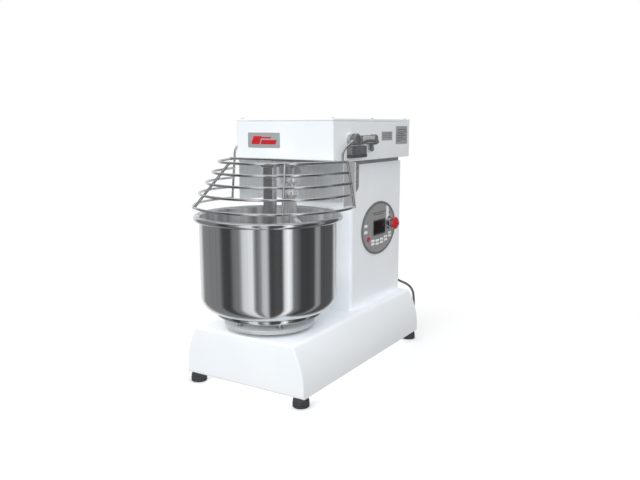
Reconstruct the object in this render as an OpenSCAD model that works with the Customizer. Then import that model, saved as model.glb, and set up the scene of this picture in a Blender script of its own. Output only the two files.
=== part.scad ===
// Spiral dough mixer, 20 litre class: fixed head, turning bowl, spiral hook, hinged wire guard.
// Origin: centre of the footprint on the floor. X right, Y to the rear, Z up. Millimetres.

/* [Base] */
// Width of the base casing
base_w = 384; // [360:1:400]
// Front end of the base casing
base_front = -312; // [-330:1:-300]
// Rear end of the base casing
base_rear = 385; // [375:1:400]
// Height of the base casing's lower edge, which is the height of the feet
foot_h = 27; // [24:1:34]
// Height of the base casing's flat top
base_top = 161; // [155:1:170]
// Diameter of a rubber foot
foot_d = 44; // [36:1:48]

/* [Column] */
// Width of the column
col_w = 252; // [240:2:260]
// Front face of the column
col_front = 45; // [40:1:50]
// Rear face of the column
col_rear = 368; // [360:1:375]
// Height of the column's top edge
col_top = 590; // [580:1:594]

/* [Head] */
// Width of the head casing
head_w = 319; // [310:1:330]
// Front face of the head
head_front = -116; // [-120:1:-110]
// Rear face of the head
head_rear = 362; // [350:1:368]
// Underside of the head
head_z = 604; // [600:1:608]
// Top of the lid
head_top = 720; // [716:1:730]

/* [Bowl] */
// Distance of the bowl's axis in front of the origin
bowl_y = -186; // [-190:1:-182]
// Outer radius of the bowl's wall
bowl_r = 184; // [176:1:186]
// Outer radius of the rolled rim
rim_r = 199; // [194:1:200]
// Height of the middle of the rolled rim
rim_z = 461.5; // [455:0.5:465]
// Height of the underside of the bowl's floor
bowl_floor = 213; // [210:1:220]
// Radius of the support ring under the bowl
ring_r = 146; // [135:1:150]
// Radius of the turntable disc
table_r = 124; // [115:1:130]

/* [Spiral hook] */
// Distance of the hook's axis in front of the origin
hook_y = -82; // [-84:1:-80]
// Radius of the spiral's centre line
spiral_r = 58; // [50:1:60]
// Radius of the spiral's bar
spiral_bar = 10; // [8:1:11]

/* [Guard] */
// Radius of the guard's wire
wire_r = 3.5; // [3:0.5:4]
// Place of the guard's hinge line along Y
pivot_y = -31; // [-32:1:-30]
// Height of the guard's hinge line
pivot_z = 664; // [663:1:666]

/* [Controls] */
// Middle of the control panel along Y
panel_y = 217; // [210:1:225]
// Middle of the control panel above the floor
panel_z = 389; // [380:1:400]
// Width of the control panel
panel_w = 226; // [210:1:230]
// Height of the control panel
panel_h = 164; // [150:1:170]
// Emergency stop axis along Y
stop_y = 282; // [276:1:286]
// Emergency stop axis above the floor
stop_z = 397; // [392:1:402]

/* [Hidden] */
$fn = 96;
wall = 3;
fit = 0.05;
run_gap = 0.3;
white = [0.93, 0.94, 0.95];
steel = [0.78, 0.79, 0.80];
dark = [0.22, 0.23, 0.24];
zinc = [0.66, 0.67, 0.69];
rubber = [0.08, 0.08, 0.09];

// base outline: a large arc on each side, a shoulder of its own radius, and a flat top
side_arc = 215;
side_z = 45;
shoulder = 16;
// drive line
jack_y = 130;
jack_r = 10;
jack_foot = 36;
motor_y = 255;
bowl_shaft_r = 20;
big_sprocket = 96;
small_sprocket = 16;
base_chain_z = 88;
jack_top_sprocket = 36;
hook_sprocket_r = 24;
head_chain_z = 661;
hook_shaft_r = 15;
bracket_z = 410;
// guard: five rings from top to bottom
ring_z = [607, 579, 551, 523, 490];
ring_radius = [155, 175, 194, 208, 218];
ring_y = [-145, -140, -137, -145, -155];
ring_end = [188, 192, 197, 201, 206];
end_y = [-91, -89, -87, -85, -83];
bar_y = -125;
arm_x = 179;
arm_bend = [arm_x, -99, 634];
hub_r = 16;
hub_x0 = 171;
hub_x1 = 187;
pin_r = 6;
// shield and its brackets
shield_x = 175;
shield_front = -88;
shield_rear = 32;
shield_corner = 70;
shield_z0 = 485;
shield_z1 = 602;
shield_bolt_y = 60;
shield_bolt_z = [531, 584];
bracket_half = 18.5;
// hook bearing housing, and the bolts that hold it and the breaker arm to the head
hook_housing_r = 30;
breaker_bolt_at = [30, 26];
breaker_hole_r = 3.1;
// fastener positions
foot_x = base_w / 2 - 22;
foot_y = [base_front + 22, base_rear - 22];
lid_screw_y = [-100, 123, 346];
cover_screw_z = [182, 375, 568];
// power cord
cord_r = 4;
gland_x = 60;
gland_z = 188;
coil_at = [20, 456];
coil_r = 44;
cord_route = [[60, 408, 188], [60, 418, 187], [62, 431, 184], [69, 443, 180], [80, 451, 174], [93, 454, 168],
    [106, 455, 164], [118, 455, 160], [130, 455, 153], [139, 455, 143], [144, 455, 131], [146, 455, 116],
    [147, 455, 100], [147, 455, 84], [147, 456, 68], [145, 459, 50], [139, 465, 32], [129, 473, 18],
    [115, 481, 9], [99, 488, 5], [80, 495, 4], [60, 500, 4], [40, 503, 4], [20, 504, 4]];
cord_tail = [[20, 416, 4], [33, 413.6, 4], [45, 410, 4], [54, 408, 4], [62, 408, 4]];
plug_from = [62, 395, 0];
plug_to = [104, 421, 26];
prong_y = [401, 415];
prong_r = 2.4;
prong_long = 19;
// emergency stop and limit switch lever
stop_stem_r = 6;
stop_neck_r = 4;
stop_head_r = 19.5;
stop_head_deep = 16;
stop_head_x = col_w / 2 + 22;
lever_x = 177;
lever_thick = 4;

// ---- helpers ----
function unit(v) = v / norm(v);
function along(pts, i) = unit(pts[min(i + 1, len(pts) - 1)] - pts[max(i - 1, 0)]);
function side_of(t) = unit(cross(t, abs(t[2]) > 0.9 ? [0, 1, 0] : [0, 0, 1]));
function carried(pts, i) = i == 0 ? side_of(along(pts, 0)) : project_off(carried(pts, i - 1), along(pts, i));
function project_off(v, t) = unit(v - t * (v * t));

// a round bar swept along points, as one closed solid
module swept(pts, r, sides) {
    n = len(pts);
    frames = [for (i = [0:n - 1]) [along(pts, i), carried(pts, i)]];
    skin = [for (i = [0:n - 1], k = [0:sides - 1])
        pts[i] + r * (cos(360 * k / sides) * frames[i][1] + sin(360 * k / sides) * cross(frames[i][0], frames[i][1]))];
    walls = [for (i = [0:n - 2], k = [0:sides - 1])
        [i * sides + k, (i + 1) * sides + k, (i + 1) * sides + (k + 1) % sides, i * sides + (k + 1) % sides]];
    ends = [[for (k = [0:sides - 1]) k], [for (k = [sides - 1:-1:0]) (n - 1) * sides + k]];
    polyhedron(points = skin, faces = concat(walls, ends), convexity = 10);
}

// a box given by its two opposite corners
module box(a, b) {
    translate(a) cube(b - a);
}

// a straight round bar from a to b
module rod(a, b, r) {
    d = b - a;
    translate(a) rotate([0, acos(d[2] / norm(d)), atan2(d[1], d[0])]) cylinder(h = norm(d), r = r);
}

// a cylinder along +X that starts at p
module x_cyl(p, r, h) {
    translate(p) rotate([0, 90, 0]) cylinder(r = r, h = h);
}

module ring(r_out, r_in, h) {
    difference() {
        cylinder(r = r_out, h = h);
        translate([0, 0, -1]) cylinder(r = r_in, h = h + 2);
    }
}

// a rectangle with round corners, drawn from its corner
module round_rect(a, b, r) {
    translate([a[0] + r, a[1]]) square([b[0] - a[0] - 2 * r, b[1] - a[1]]);
    translate([a[0], a[1] + r]) square([b[0] - a[0], b[1] - a[1] - 2 * r]);
    for (x = [a[0] + r, b[0] - r], y = [a[1] + r, b[1] - r]) translate([x, y]) circle(r = r);
}

// an oval of the panel's proportions, on the column's side, from x0 to x1
module oval(w, h, x0, x1) {
    translate([x0, panel_y, panel_z]) rotate([90, 0, 90]) linear_extrude(x1 - x0) ellipse(w, h);
}

module ellipse(w, h) {
    polygon([for (k = [0:71]) [w / 2 * cos(5 * k), h / 2 * sin(5 * k)]]);
}

// a casing screw with its head on +Z and its shank below
module screw() {
    cylinder(r = 4, h = 2);
    translate([0, 0, -10]) cylinder(r = 2, h = 10);
}

// a loop of chain round two sprockets on the Y axis
module chain_loop(y1, r1, y2, r2, thick, high) {
    linear_extrude(high) difference() {
        loop_area(y1, r1 + thick, y2, r2 + thick);
        loop_area(y1, r1, y2, r2);
    }
}

// the area inside a tight loop round two circles on the Y axis
module loop_area(y1, r1, y2, r2) {
    lean = asin((r1 - r2) / (y2 - y1));
    translate([0, y1]) circle(r = r1);
    translate([0, y2]) circle(r = r2);
    polygon([[r1 * cos(lean), y1 + r1 * sin(lean)], [r2 * cos(lean), y2 + r2 * sin(lean)],
        [-r2 * cos(lean), y2 + r2 * sin(lean)], [-r1 * cos(lean), y1 + r1 * sin(lean)]]);
}

// a toothed wheel for roller chain
module sprocket(r, teeth, bore, high) {
    difference() {
        cylinder(r = r, h = high);
        translate([0, 0, -1]) cylinder(r = bore, h = high + 2);
        for (k = [0:teeth - 1]) rotate(360 * k / teeth) translate([r, 0, -1]) cylinder(r = 2.8, h = high + 2, $fn = 24);
    }
}

// ---- base ----
// outline of the base seen from the front, drawn t inside the outer skin
module base_outline(t) {
    cx = base_w / 2 - side_arc;
    rise = base_top - shoulder - side_z;
    sx = cx + sqrt(pow(side_arc - shoulder, 2) - rise * rise);
    for (s = [1, -1]) scale([s, 1]) {
        translate([0, foot_h]) square([base_w / 2 - t, side_z - foot_h]);
        translate([0, foot_h]) square([sx, base_top - t - foot_h]);
        translate([sx, base_top - shoulder]) circle(r = shoulder - t);
        intersection() {
            translate([cx, side_z]) circle(r = side_arc - t, $fn = 240);
            polygon([[0, side_z], [sx, base_top - shoulder], [sx + (sx - cx), side_z + 2 * rise],
                [2 * base_w, side_z + rise], [2 * base_w, side_z]]);
        }
    }
}

module along_y(y0, y1) {
    translate([0, y1, 0]) rotate([90, 0, 0]) linear_extrude(y1 - y0) children();
}

module base_shell() {
    color(white) difference() {
        along_y(base_front, base_rear) base_outline(0);
        along_y(base_front + wall, base_rear - wall) base_outline(wall);
        box([-base_w / 2 + wall, base_front + wall, 0], [base_w / 2 - wall, base_rear - wall, side_z]);
        translate([0, bowl_y, 0]) cylinder(r = 58, h = 300);
        translate([0, jack_y, 0]) cylinder(r = 16, h = 300);
    }
}

module base_plate() {
    color(zinc) difference() {
        box([-base_w / 2 + wall, base_front + wall, foot_h], [base_w / 2 - wall, base_rear - wall, foot_h + 4]);
        for (x = [-foot_x, foot_x], y = foot_y) translate([x, y, 0]) cylinder(r = 4, h = 100);
    }
}

module foot_shape() {
    rotate_extrude() polygon([[0, 0], [foot_d / 2 - 2, 0], [foot_d / 2, 2], [foot_d / 2, 5], [foot_d / 2 - 2, 6],
        [foot_d / 2 - 2, 8], [foot_d / 2, 9], [foot_d / 2, 12], [foot_d / 2 - 2, 13], [foot_d / 2 - 2, 15],
        [foot_d / 2 - 1, 16], [foot_d / 2 - 2, 20], [foot_d / 2 - 5, foot_h], [0, foot_h]]);
}

module feet() {
    color(rubber) for (x = [-foot_x, foot_x], y = foot_y) translate([x, y, 0]) difference() {
        foot_shape();
        translate([0, 0, 8]) cylinder(r = 14, h = 3);
        translate([0, 0, 10]) cylinder(r = 4, h = 40);
    }
}

module foot_studs() {
    color(zinc) for (x = [-foot_x, foot_x], y = foot_y) translate([x, y, 0]) {
        translate([0, 0, 8]) cylinder(r = 14, h = 3);
        translate([0, 0, 10]) cylinder(r = 4, h = 32);
        translate([0, 0, foot_h + 4]) cylinder(r = 7.5, h = 7, $fn = 6);
    }
}

module bowl_bearing_housing() {
    color(zinc) translate([0, bowl_y, 0]) difference() {
        union() {
            translate([0, 0, 105]) cylinder(r = 55, h = 58);
            translate([0, 0, base_top]) cylinder(r = 80, h = 5);
        }
        cylinder(r = bowl_shaft_r + 3, h = 300);
        translate([0, 0, 100]) cylinder(r = 36, h = 21);
        translate([0, 0, 149]) cylinder(r = 36, h = 50);
    }
}

module bowl_bearings() {
    color(steel) translate([0, bowl_y, 0]) for (z = [105, 149]) translate([0, 0, z])
        ring(36, bowl_shaft_r + fit, 16);
}

// ---- column ----
module column_outline(t) {
    round_rect([-col_w / 2 + t, col_front + t], [col_w / 2 - t, col_rear + 40], 10 - t);
}

module column_shell() {
    color(white) difference() {
        translate([0, 0, base_top]) linear_extrude(col_top - base_top) intersection() {
            column_outline(0);
            translate([-200, 0]) square([400, col_rear]);
        }
        translate([0, 0, base_top - 1]) linear_extrude(500) column_outline(wall);
        x_cyl([0, stop_y, stop_z], 11, 200);
        for (z = shield_bolt_z) x_cyl([-200, shield_bolt_y, z], 4, 400);
    }
}

module rear_cover() {
    color(white) difference() {
        union() {
            box([-col_w / 2 + wall, col_rear - 2, base_top], [col_w / 2 - wall, col_rear, col_top]);
            for (s = [-1, 1]) scale([s, 1, 1])
                box([col_w / 2 - wall - 14, col_rear - 12, base_top], [col_w / 2 - wall, col_rear - 2, col_top]);
        }
        for (k = [0:7]) box([-70, col_rear - 20, 470 + 12 * k], [70, col_rear + 5, 475 + 12 * k]);
        for (k = [0:5]) box([-70, col_rear - 20, 240 + 12 * k], [70, col_rear + 5, 245 + 12 * k]);
        for (x = [-116, 116], z = cover_screw_z) translate([x, col_rear + 5, z]) rotate([90, 0, 0])
            cylinder(r = 2, h = 30);
        translate([gland_x, col_rear + 5, gland_z]) rotate([90, 0, 0]) cylinder(r = 8, h = 30);
    }
}

// the screws of the lid and of the rear cover
module casing_screws() {
    color(zinc) {
        for (x = [-148, 148], y = lid_screw_y) translate([x, y, head_top]) screw();
        for (x = [-116, 116], z = cover_screw_z) translate([x, col_rear, z]) rotate([-90, 0, 0]) screw();
    }
}

module head_seat() {
    color(dark) translate([0, 0, col_top]) linear_extrude(head_z - col_top) difference() {
        round_rect([-col_w / 2 + 2, col_front + 2], [col_w / 2 - 2, head_rear - 2], 8);
        round_rect([-col_w / 2 + 12, col_front + 12], [col_w / 2 - 12, head_rear - 12], 4);
    }
}

// ---- head ----
module head_outline(t) {
    round_rect([-head_w / 2 + t, head_front + t], [head_w / 2 - t, head_rear - t], 5 - t);
}

module head_shell() {
    color(white) difference() {
        translate([0, 0, head_z]) linear_extrude(head_top - 7 - head_z) head_outline(0);
        translate([0, 0, head_z + wall]) linear_extrude(200) head_outline(wall);
        translate([0, hook_y, 500]) cylinder(r = hook_housing_r, h = 200);
        translate([0, jack_y, 500]) cylinder(r = 16, h = 200);
        x_cyl([-200, pivot_y, pivot_z], 11, 400);
        breaker_bolt_places() translate([0, 0, 500]) cylinder(r = breaker_hole_r, h = 200);
    }
}

module head_lid() {
    color(white) difference() {
        translate([0, 0, head_top - 7]) linear_extrude(7) round_rect([-head_w / 2 - 1, head_front - 1],
            [head_w / 2 + 1, head_rear + 1], 6);
        translate([0, 0, head_top - 10]) linear_extrude(8) head_outline(wall);
        for (x = [-148, 148], y = lid_screw_y) translate([x, y, 600]) cylinder(r = 2, h = 200);
    }
}

module badge() {
    color(steel) box([-118, head_front - 1.5, 640], [-9, head_front, 682]);
}

module side_labels() {
    color(zinc) {
        box([head_w / 2, 163, 657], [head_w / 2 + 0.5, 234, 683]);
        box([head_w / 2, 259, 644], [head_w / 2 + 0.5, 342, 699]);
    }
}

// ---- breaker bar at the middle of the bowl ----
module breaker_arm() {
    color(steel) difference() {
        union() {
            translate([0, hook_y, 592]) cylinder(r = 54, h = head_z - 592);
            box([-20, bowl_y - 2, 592], [20, hook_y, head_z]);
        }
        translate([0, hook_y, 500]) cylinder(r = hook_housing_r, h = 200);
        breaker_bolt_places() translate([0, 0, 500]) cylinder(r = breaker_hole_r, h = 200);
    }
}

module breaker_bar() {
    color(steel) translate([0, bowl_y + 8, 236]) linear_extrude(592 - 236) round_rect([-20, -8], [20, 8], 7);
}

module breaker_bolt_places() {
    for (x = [-1, 1], y = [-1, 1]) translate([x * breaker_bolt_at[0], hook_y + y * breaker_bolt_at[1], 0]) children();
}

module breaker_bolts() {
    color(zinc) breaker_bolt_places() {
        translate([0, 0, 587]) cylinder(r = 6.5, h = 5, $fn = 6);
        translate([0, 0, 591]) cylinder(r = 3, h = 22);
    }
}

module hook_bearing_housing() {
    color(zinc) translate([0, hook_y, 0]) difference() {
        union() {
            translate([0, 0, 570]) cylinder(r = hook_housing_r, h = 70);
            box([-46, head_front - hook_y + wall + 0.5, head_z + wall], [46, 46, head_z + wall + 5]);
        }
        cylinder(r = hook_shaft_r + 3, h = 900);
        translate([0, 0, 560]) cylinder(r = 26, h = 22);
        translate([0, 0, 628]) cylinder(r = 26, h = 22);
        translate([0, -hook_y, 0]) breaker_bolt_places() translate([0, 0, 600]) cylinder(r = breaker_hole_r, h = 60);
    }
}

module hook_bearings() {
    color(steel) translate([0, hook_y, 0]) for (z = [570, 628]) translate([0, 0, z])
        ring(26, hook_shaft_r + fit, 12);
}

// ---- fixed stainless shield behind the bowl's mouth ----
module shield_outline(t) {
    round_rect([-shield_x + t, shield_front - 120], [shield_x - t, shield_rear - t], shield_corner - t);
}

module rear_shield() {
    color(steel) translate([0, 0, shield_z0]) linear_extrude(shield_z1 - shield_z0) difference() {
        shield_outline(0);
        shield_outline(1.5);
        translate([-300, shield_front - 300]) square([600, 300]);
    }
}

module shield_brackets() {
    color(dark) for (s = [-1, 1]) scale([s, 1, 1]) difference() {
        union() {
            box([col_w / 2, shield_bolt_y - bracket_half, 531], [col_w / 2 + 5, shield_bolt_y + bracket_half, 598]);
            x_cyl([col_w / 2, shield_bolt_y, 531], bracket_half, 5);
            box([col_w / 2, 18, 540], [col_w / 2 + 5, shield_bolt_y, 592]);
        }
        for (z = shield_bolt_z) x_cyl([100, shield_bolt_y, z], 4, 100);
        translate([0, 0, 500]) linear_extrude(110) shield_outline(0);
    }
}

module shield_bolts() {
    color(steel) for (s = [-1, 1], z = shield_bolt_z) scale([s, 1, 1]) {
        x_cyl([col_w / 2 + 5, shield_bolt_y, z], 8, 4);
        x_cyl([col_w / 2 - wall, shield_bolt_y, z], 4, 10);
    }
}

// ---- guard hinge parts on the head ----
module pivot_bushes() {
    color(zinc) for (s = [-1, 1]) scale([s, 1, 1]) difference() {
        union() {
            x_cyl([head_w / 2 - wall - 5, pivot_y, pivot_z], 11, 8.5);
            x_cyl([head_w / 2, pivot_y, pivot_z], 15, hub_x0 - 1 - head_w / 2);
        }
        x_cyl([100, pivot_y, pivot_z], pin_r + fit, 100);
    }
}

module side_block(y0, y1, z0, z1, x1, r) {
    translate([head_w / 2, 0, 0]) rotate([90, 0, 90]) linear_extrude(x1 - head_w / 2)
        round_rect([y0, z0], [y1, z1], r);
}

module switch_body() {
    color(dark) {
        side_block(-44, 0.5, 614, 646, 176, 4);
        side_block(0.5, 45, 614, 646, 174, 4);
    }
}

module switch_cover() {
    color(zinc) side_block(22, 112, 652, 672, 175, 9);
}

module switch_gland() {
    color(dark) {
        translate([168, 84, 630]) cylinder(r = 5, h = 22);
        translate([168, 84, 632]) cylinder(r = 6.5, h = 8, $fn = 6);
    }
}

// ---- control panel on the column's right side ----
module panel_bezel() {
    color(dark) difference() {
        oval(panel_w, panel_h, col_w / 2, col_w / 2 + 4);
        oval(panel_w - 14, panel_h - 14, col_w / 2 - 1, col_w / 2 + 5);
    }
}

module panel_face() {
    color(steel) difference() {
        oval(panel_w - 14, panel_h - 14, col_w / 2, col_w / 2 + 2.5);
        x_cyl([0, stop_y, stop_z], 11, 200);
    }
}

module key(y, z, w, h) {
    translate([col_w / 2 + 2.5, 0, 0]) rotate([90, 0, 90]) linear_extrude(1)
        round_rect([y - w / 2, z - h / 2], [y + w / 2, z + h / 2], h / 2 - 0.2);
}

module display_window() {
    color("black") translate([col_w / 2 + 2.5, 0, 0]) rotate([90, 0, 90]) linear_extrude(1)
        round_rect([181, 371], [256, 411], 4);
}

module panel_keys() {
    color("white") {
        for (z = [403, 384]) key(129, z, 20, 9);
        key(146, 361, 18, 14);
        for (k = [0:3]) key(176 + 29 * k, 350 + 1.5 * pow(k - 1.2, 2), 22, 7);
        for (k = [0:3]) key(176 + 29 * k, 340 + 1.5 * pow(k - 1.2, 2), 22, 7);
        for (z = [364, 354]) key(291, z, 20, 7);
    }
}

module stop_collar() {
    color(steel) difference() {
        union() {
            x_cyl([col_w / 2 + 2.5, stop_y, stop_z], 17, 14);
            x_cyl([col_w / 2 - 12, stop_y, stop_z], 11, 16);
            x_cyl([col_w / 2 - wall - 6, stop_y, stop_z], 15, 6);
        }
        x_cyl([0, stop_y, stop_z], 6 + fit, 300);
    }
}

// ---- drive ----
module control_box() {
    color(zinc) box([84, 130, 300], [col_w / 2 - wall, 255, 398]);
}

module motor_bracket() {
    color(zinc) difference() {
        union() {
            box([-col_w / 2 + wall, col_front + 10, bracket_z - 8], [col_w / 2 - wall, 350, bracket_z]);
            box([-col_w / 2 + wall, col_front + 10, bracket_z - 40], [-col_w / 2 + wall + 4, 350, bracket_z - 8]);
        }
        translate([0, jack_y, 300]) cylinder(r = 16, h = 200);
        box([col_w / 2 - 25, stop_y - 22, 300], [col_w / 2, stop_y + 22, 500]);
    }
}

module gearmotor() {
    color([0.35, 0.38, 0.42]) translate([0, motor_y, 0]) {
        translate([0, 0, 215]) cylinder(r = 60, h = bracket_z - 8 - 215);
        for (k = [0:17]) rotate(20 * k) box([58, -1.5, 240], [69, 1.5, 385]);
        translate([0, 0, 190]) cylinder(r = 66, h = 30);
    }
}

module gearbox() {
    color([0.45, 0.47, 0.50]) difference() {
        translate([0, 0, bracket_z]) linear_extrude(85) round_rect([-70, 80], [70, 325], 12);
        translate([0, jack_y, 300]) cylinder(r = jack_r + fit, h = 300);
    }
}

module jackshaft_bearings() {
    color(zinc) {
        difference() {
            translate([0, jack_y, foot_h + 4]) cylinder(r = 28, h = 26);
            translate([0, jack_y, jack_foot - 1]) cylinder(r = jack_r + fit, h = 100);
        }
        translate([0, jack_y, head_z + wall]) ring(30, jack_r + fit, 22);
    }
}

module hook_chain() {
    color(zinc) translate([0, 0, head_chain_z - 4])
        chain_loop(jack_y, jack_top_sprocket + run_gap, hook_y, hook_sprocket_r + run_gap, 4, 8);
}

module bowl_chain() {
    color(zinc) translate([0, 0, base_chain_z - 4])
        chain_loop(bowl_y, big_sprocket + run_gap, jack_y, small_sprocket + run_gap, 5, 8);
}

module jackshaft() {
    color(steel) {
        translate([0, jack_y, jack_foot]) cylinder(r = jack_r, h = 650);
        translate([0, jack_y, base_chain_z - 3]) sprocket(small_sprocket, 12, jack_r, 6);
        translate([0, jack_y, head_chain_z - 3]) sprocket(jack_top_sprocket, 24, jack_r, 6);
    }
}

// ---- bowl group ----
module bowl() {
    ri = bowl_r - 1.5;
    corner = 40;
    color(steel) translate([0, bowl_y, 0]) rotate_extrude() {
        translate([ri, bowl_floor + corner]) square([1.5, rim_z - bowl_floor - corner]);
        translate([0, bowl_floor]) square([bowl_r - corner, 1.5]);
        intersection() {
            translate([bowl_r - corner, bowl_floor + corner]) difference() {
                circle(r = corner);
                circle(r = corner - 1.5);
            }
            translate([bowl_r - corner, bowl_floor]) square([corner, corner]);
        }
        translate([rim_r - 7.75, rim_z]) circle(r = 7.75);
    }
}

module bowl_ring() {
    color(steel) translate([0, bowl_y, bowl_floor - 12]) cylinder(r = ring_r, h = 12);
}

module bowl_spacers() {
    color(zinc) translate([0, bowl_y, 0]) for (k = [0:5]) rotate(20 + 60 * k) translate([108, 0, 181])
        cylinder(r = 7, h = bowl_floor - 12 - 181);
}

module turntable() {
    color(dark) translate([0, bowl_y, 169]) cylinder(r = table_r, h = 12);
}

module bowl_shaft() {
    color(steel) translate([0, bowl_y, 76]) cylinder(r = bowl_shaft_r, h = 169 - 76);
}

module bowl_sprocket() {
    color(zinc) translate([0, bowl_y, base_chain_z - 3]) sprocket(big_sprocket, 60, bowl_shaft_r, 6);
}

// ---- spiral hook group ----
// one and a quarter turns that start under the shank and widen to the spiral's radius
function hook_point(s) = let (a = 450 * s, r = spiral_r * min(1, s * 4.5))
    [r * cos(a), r * sin(a), 446 - 208 * pow(s, 0.9)];

module hook() {
    color(steel) translate([0, hook_y, 0]) {
        translate([0, 0, 430]) cylinder(r = 18, h = 75);
        translate([0, 0, 505]) cylinder(r = 26, h = 17);
        translate([0, 0, 522]) cylinder(r = 19, h = 22);
        translate([0, 0, 544]) cylinder(r = 30, h = 15);
        swept([for (k = [0:44]) hook_point(k / 44)], spiral_bar, 14);
    }
}

module hook_shaft() {
    color(zinc) translate([0, hook_y, 559]) cylinder(r = hook_shaft_r, h = 118);
}

module hook_sprocket() {
    color(zinc) translate([0, hook_y, head_chain_z - 3]) sprocket(hook_sprocket_r, 16, hook_shaft_r, 6);
}

// ---- wire guard ----
// where ring i's straight tail meets its arc, as an angle about the ring's centre
function tail_angle(i) = atan2(end_y[i] - ring_y[i], ring_end[i])
    - acos(ring_radius[i] / norm([ring_end[i], end_y[i] - ring_y[i]]));
function tail_point(i) = [ring_radius[i] * cos(tail_angle(i)), ring_y[i] + ring_radius[i] * sin(tail_angle(i)),
    ring_z[i]];

// a point just inside the arc, so that the thinner tail runs into it
function tail_start(i) = let (p = tail_point(i), e = [ring_end[i], end_y[i], ring_z[i]]) p - 1.5 * unit(e - p);

module guard_ring(i) {
    t = tail_angle(i);
    translate([0, ring_y[i], ring_z[i]]) rotate(180 - t) rotate_extrude(angle = 180 + 2 * t)
        translate([ring_radius[i], 0]) circle(r = wire_r, $fn = 24);
    for (s = [-1, 1]) scale([s, 1, 1]) rod(tail_start(i), [ring_end[i], end_y[i], ring_z[i]], wire_r - 0.2);
}

module guard_rings() {
    color(steel) for (i = [0:4]) guard_ring(i);
}

module guard_ribs() {
    color(steel) {
        for (s = [-1, 1]) scale([s, 1, 1]) {
            rod([ring_end[0], end_y[0], ring_z[0] + 2], [ring_end[4], end_y[4], ring_z[4] - 2], wire_r);
        }
        rod([-42, -294, ring_z[0]], [-138, -324, ring_z[4]], wire_r);
        rod([105, -259, ring_z[0]], [141, -321, ring_z[4]], wire_r);
        rod([-176, bar_y, ring_z[0] + 1.5], [176, bar_y, ring_z[0] + 1.5], wire_r);
    }
}

module guard_arms() {
    color(steel) for (s = [-1, 1]) scale([s, 1, 1]) {
        rod([arm_x, -102, ring_z[0]], arm_bend, wire_r);
        translate(arm_bend) sphere(r = wire_r, $fn = 32);
        rod(arm_bend, [arm_x, pivot_y - 14, pivot_z - 5], wire_r);
    }
}

module guard_hubs() {
    color(dark) for (s = [-1, 1]) scale([s, 1, 1]) {
        x_cyl([hub_x0, pivot_y, pivot_z], hub_r, hub_x1 - hub_x0);
        x_cyl([head_w / 2 - wall - 8, pivot_y, pivot_z], pin_r, hub_x0 - head_w / 2 + wall + 8);
    }
}

// ---- emergency stop button and limit switch lever ----
module stop_stem() {
    color(steel) {
        x_cyl([col_w / 2 - 4, stop_y, stop_z], stop_stem_r, 25);
        x_cyl([stop_head_x - 1, stop_y, stop_z], stop_neck_r, 8);
    }
}

module stop_head() {
    color("red") difference() {
        x_cyl([stop_head_x, stop_y, stop_z], stop_head_r, stop_head_deep);
        x_cyl([stop_head_x - 2, stop_y, stop_z], stop_neck_r + fit, 10);
    }
}

module switch_lever() {
    color(dark) translate([lever_x, 0, 0]) rotate([90, 0, 90]) linear_extrude(lever_thick) {
        translate([100, 655]) circle(r = 5);
        translate([-9, 652]) circle(r = 4);
        polygon([[100, 651.5], [100, 657.5], [40, 661.5], [-9, 654.5], [-9, 650.5], [40, 657]]);
    }
}

// ---- power cord ----
module cord_gland() {
    color(rubber) translate([gland_x, col_rear, gland_z]) rotate([-90, 0, 0]) difference() {
        union() {
            cylinder(r = 13, h = 8);
            translate([0, 0, 8]) cylinder(r1 = 9, r2 = 6, h = 32);
            translate([0, 0, -10]) cylinder(r = 8, h = 10);
        }
        translate([0, 0, -20]) cylinder(r = cord_r, h = 80);
    }
}

module cord() {
    color("black") {
        swept(cord_route, cord_r, 10);
        swept(cord_tail, cord_r, 10);
    }
}

module cord_coil() {
    color("black") translate([coil_at[0], coil_at[1], 0]) rotate_extrude() translate([coil_r - 8.5, 0])
        square([17, 24]);
}

module cord_tie() {
    color("black") translate([coil_at[0] - coil_r, coil_at[1], 0]) difference() {
        box([-10, -5, 0], [10, 5, 25.5]);
        box([-9, -6, -1], [9, 6, 24]);
    }
}

module plug() {
    color("black") {
        box(plug_from, plug_to);
        for (y = prong_y) translate([plug_to[0], y, plug_to[2] / 2]) rotate([0, 90, 0])
            cylinder(r = prong_r, h = prong_long);
    }
}

base_shell();
base_plate();
feet();
foot_studs();
bowl_bearing_housing();
bowl_bearings();
column_shell();
rear_cover();
head_seat();
head_shell();
head_lid();
casing_screws();
badge();
side_labels();
breaker_arm();
breaker_bar();
breaker_bolts();
hook_bearing_housing();
hook_bearings();
rear_shield();
shield_brackets();
shield_bolts();
pivot_bushes();
switch_body();
switch_cover();
switch_gland();
panel_bezel();
panel_face();
display_window();
panel_keys();
stop_collar();
control_box();
gearmotor();
gearbox();
motor_bracket();
jackshaft_bearings();
hook_chain();
bowl_chain();
cord_gland();
cord();
cord_coil();
cord_tie();
plug();
guard_hubs();
guard_arms();
guard_rings();
guard_ribs();
bowl();
bowl_ring();
bowl_spacers();
turntable();
bowl_shaft();
bowl_sprocket();
hook();
hook_shaft();
hook_sprocket();
jackshaft();
stop_stem();
stop_head();
switch_lever();
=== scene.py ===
# Spiral dough mixer: detailed meshes, materials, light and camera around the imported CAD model.
import math
import bpy
import bmesh
from mathutils import Matrix, Vector


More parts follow.
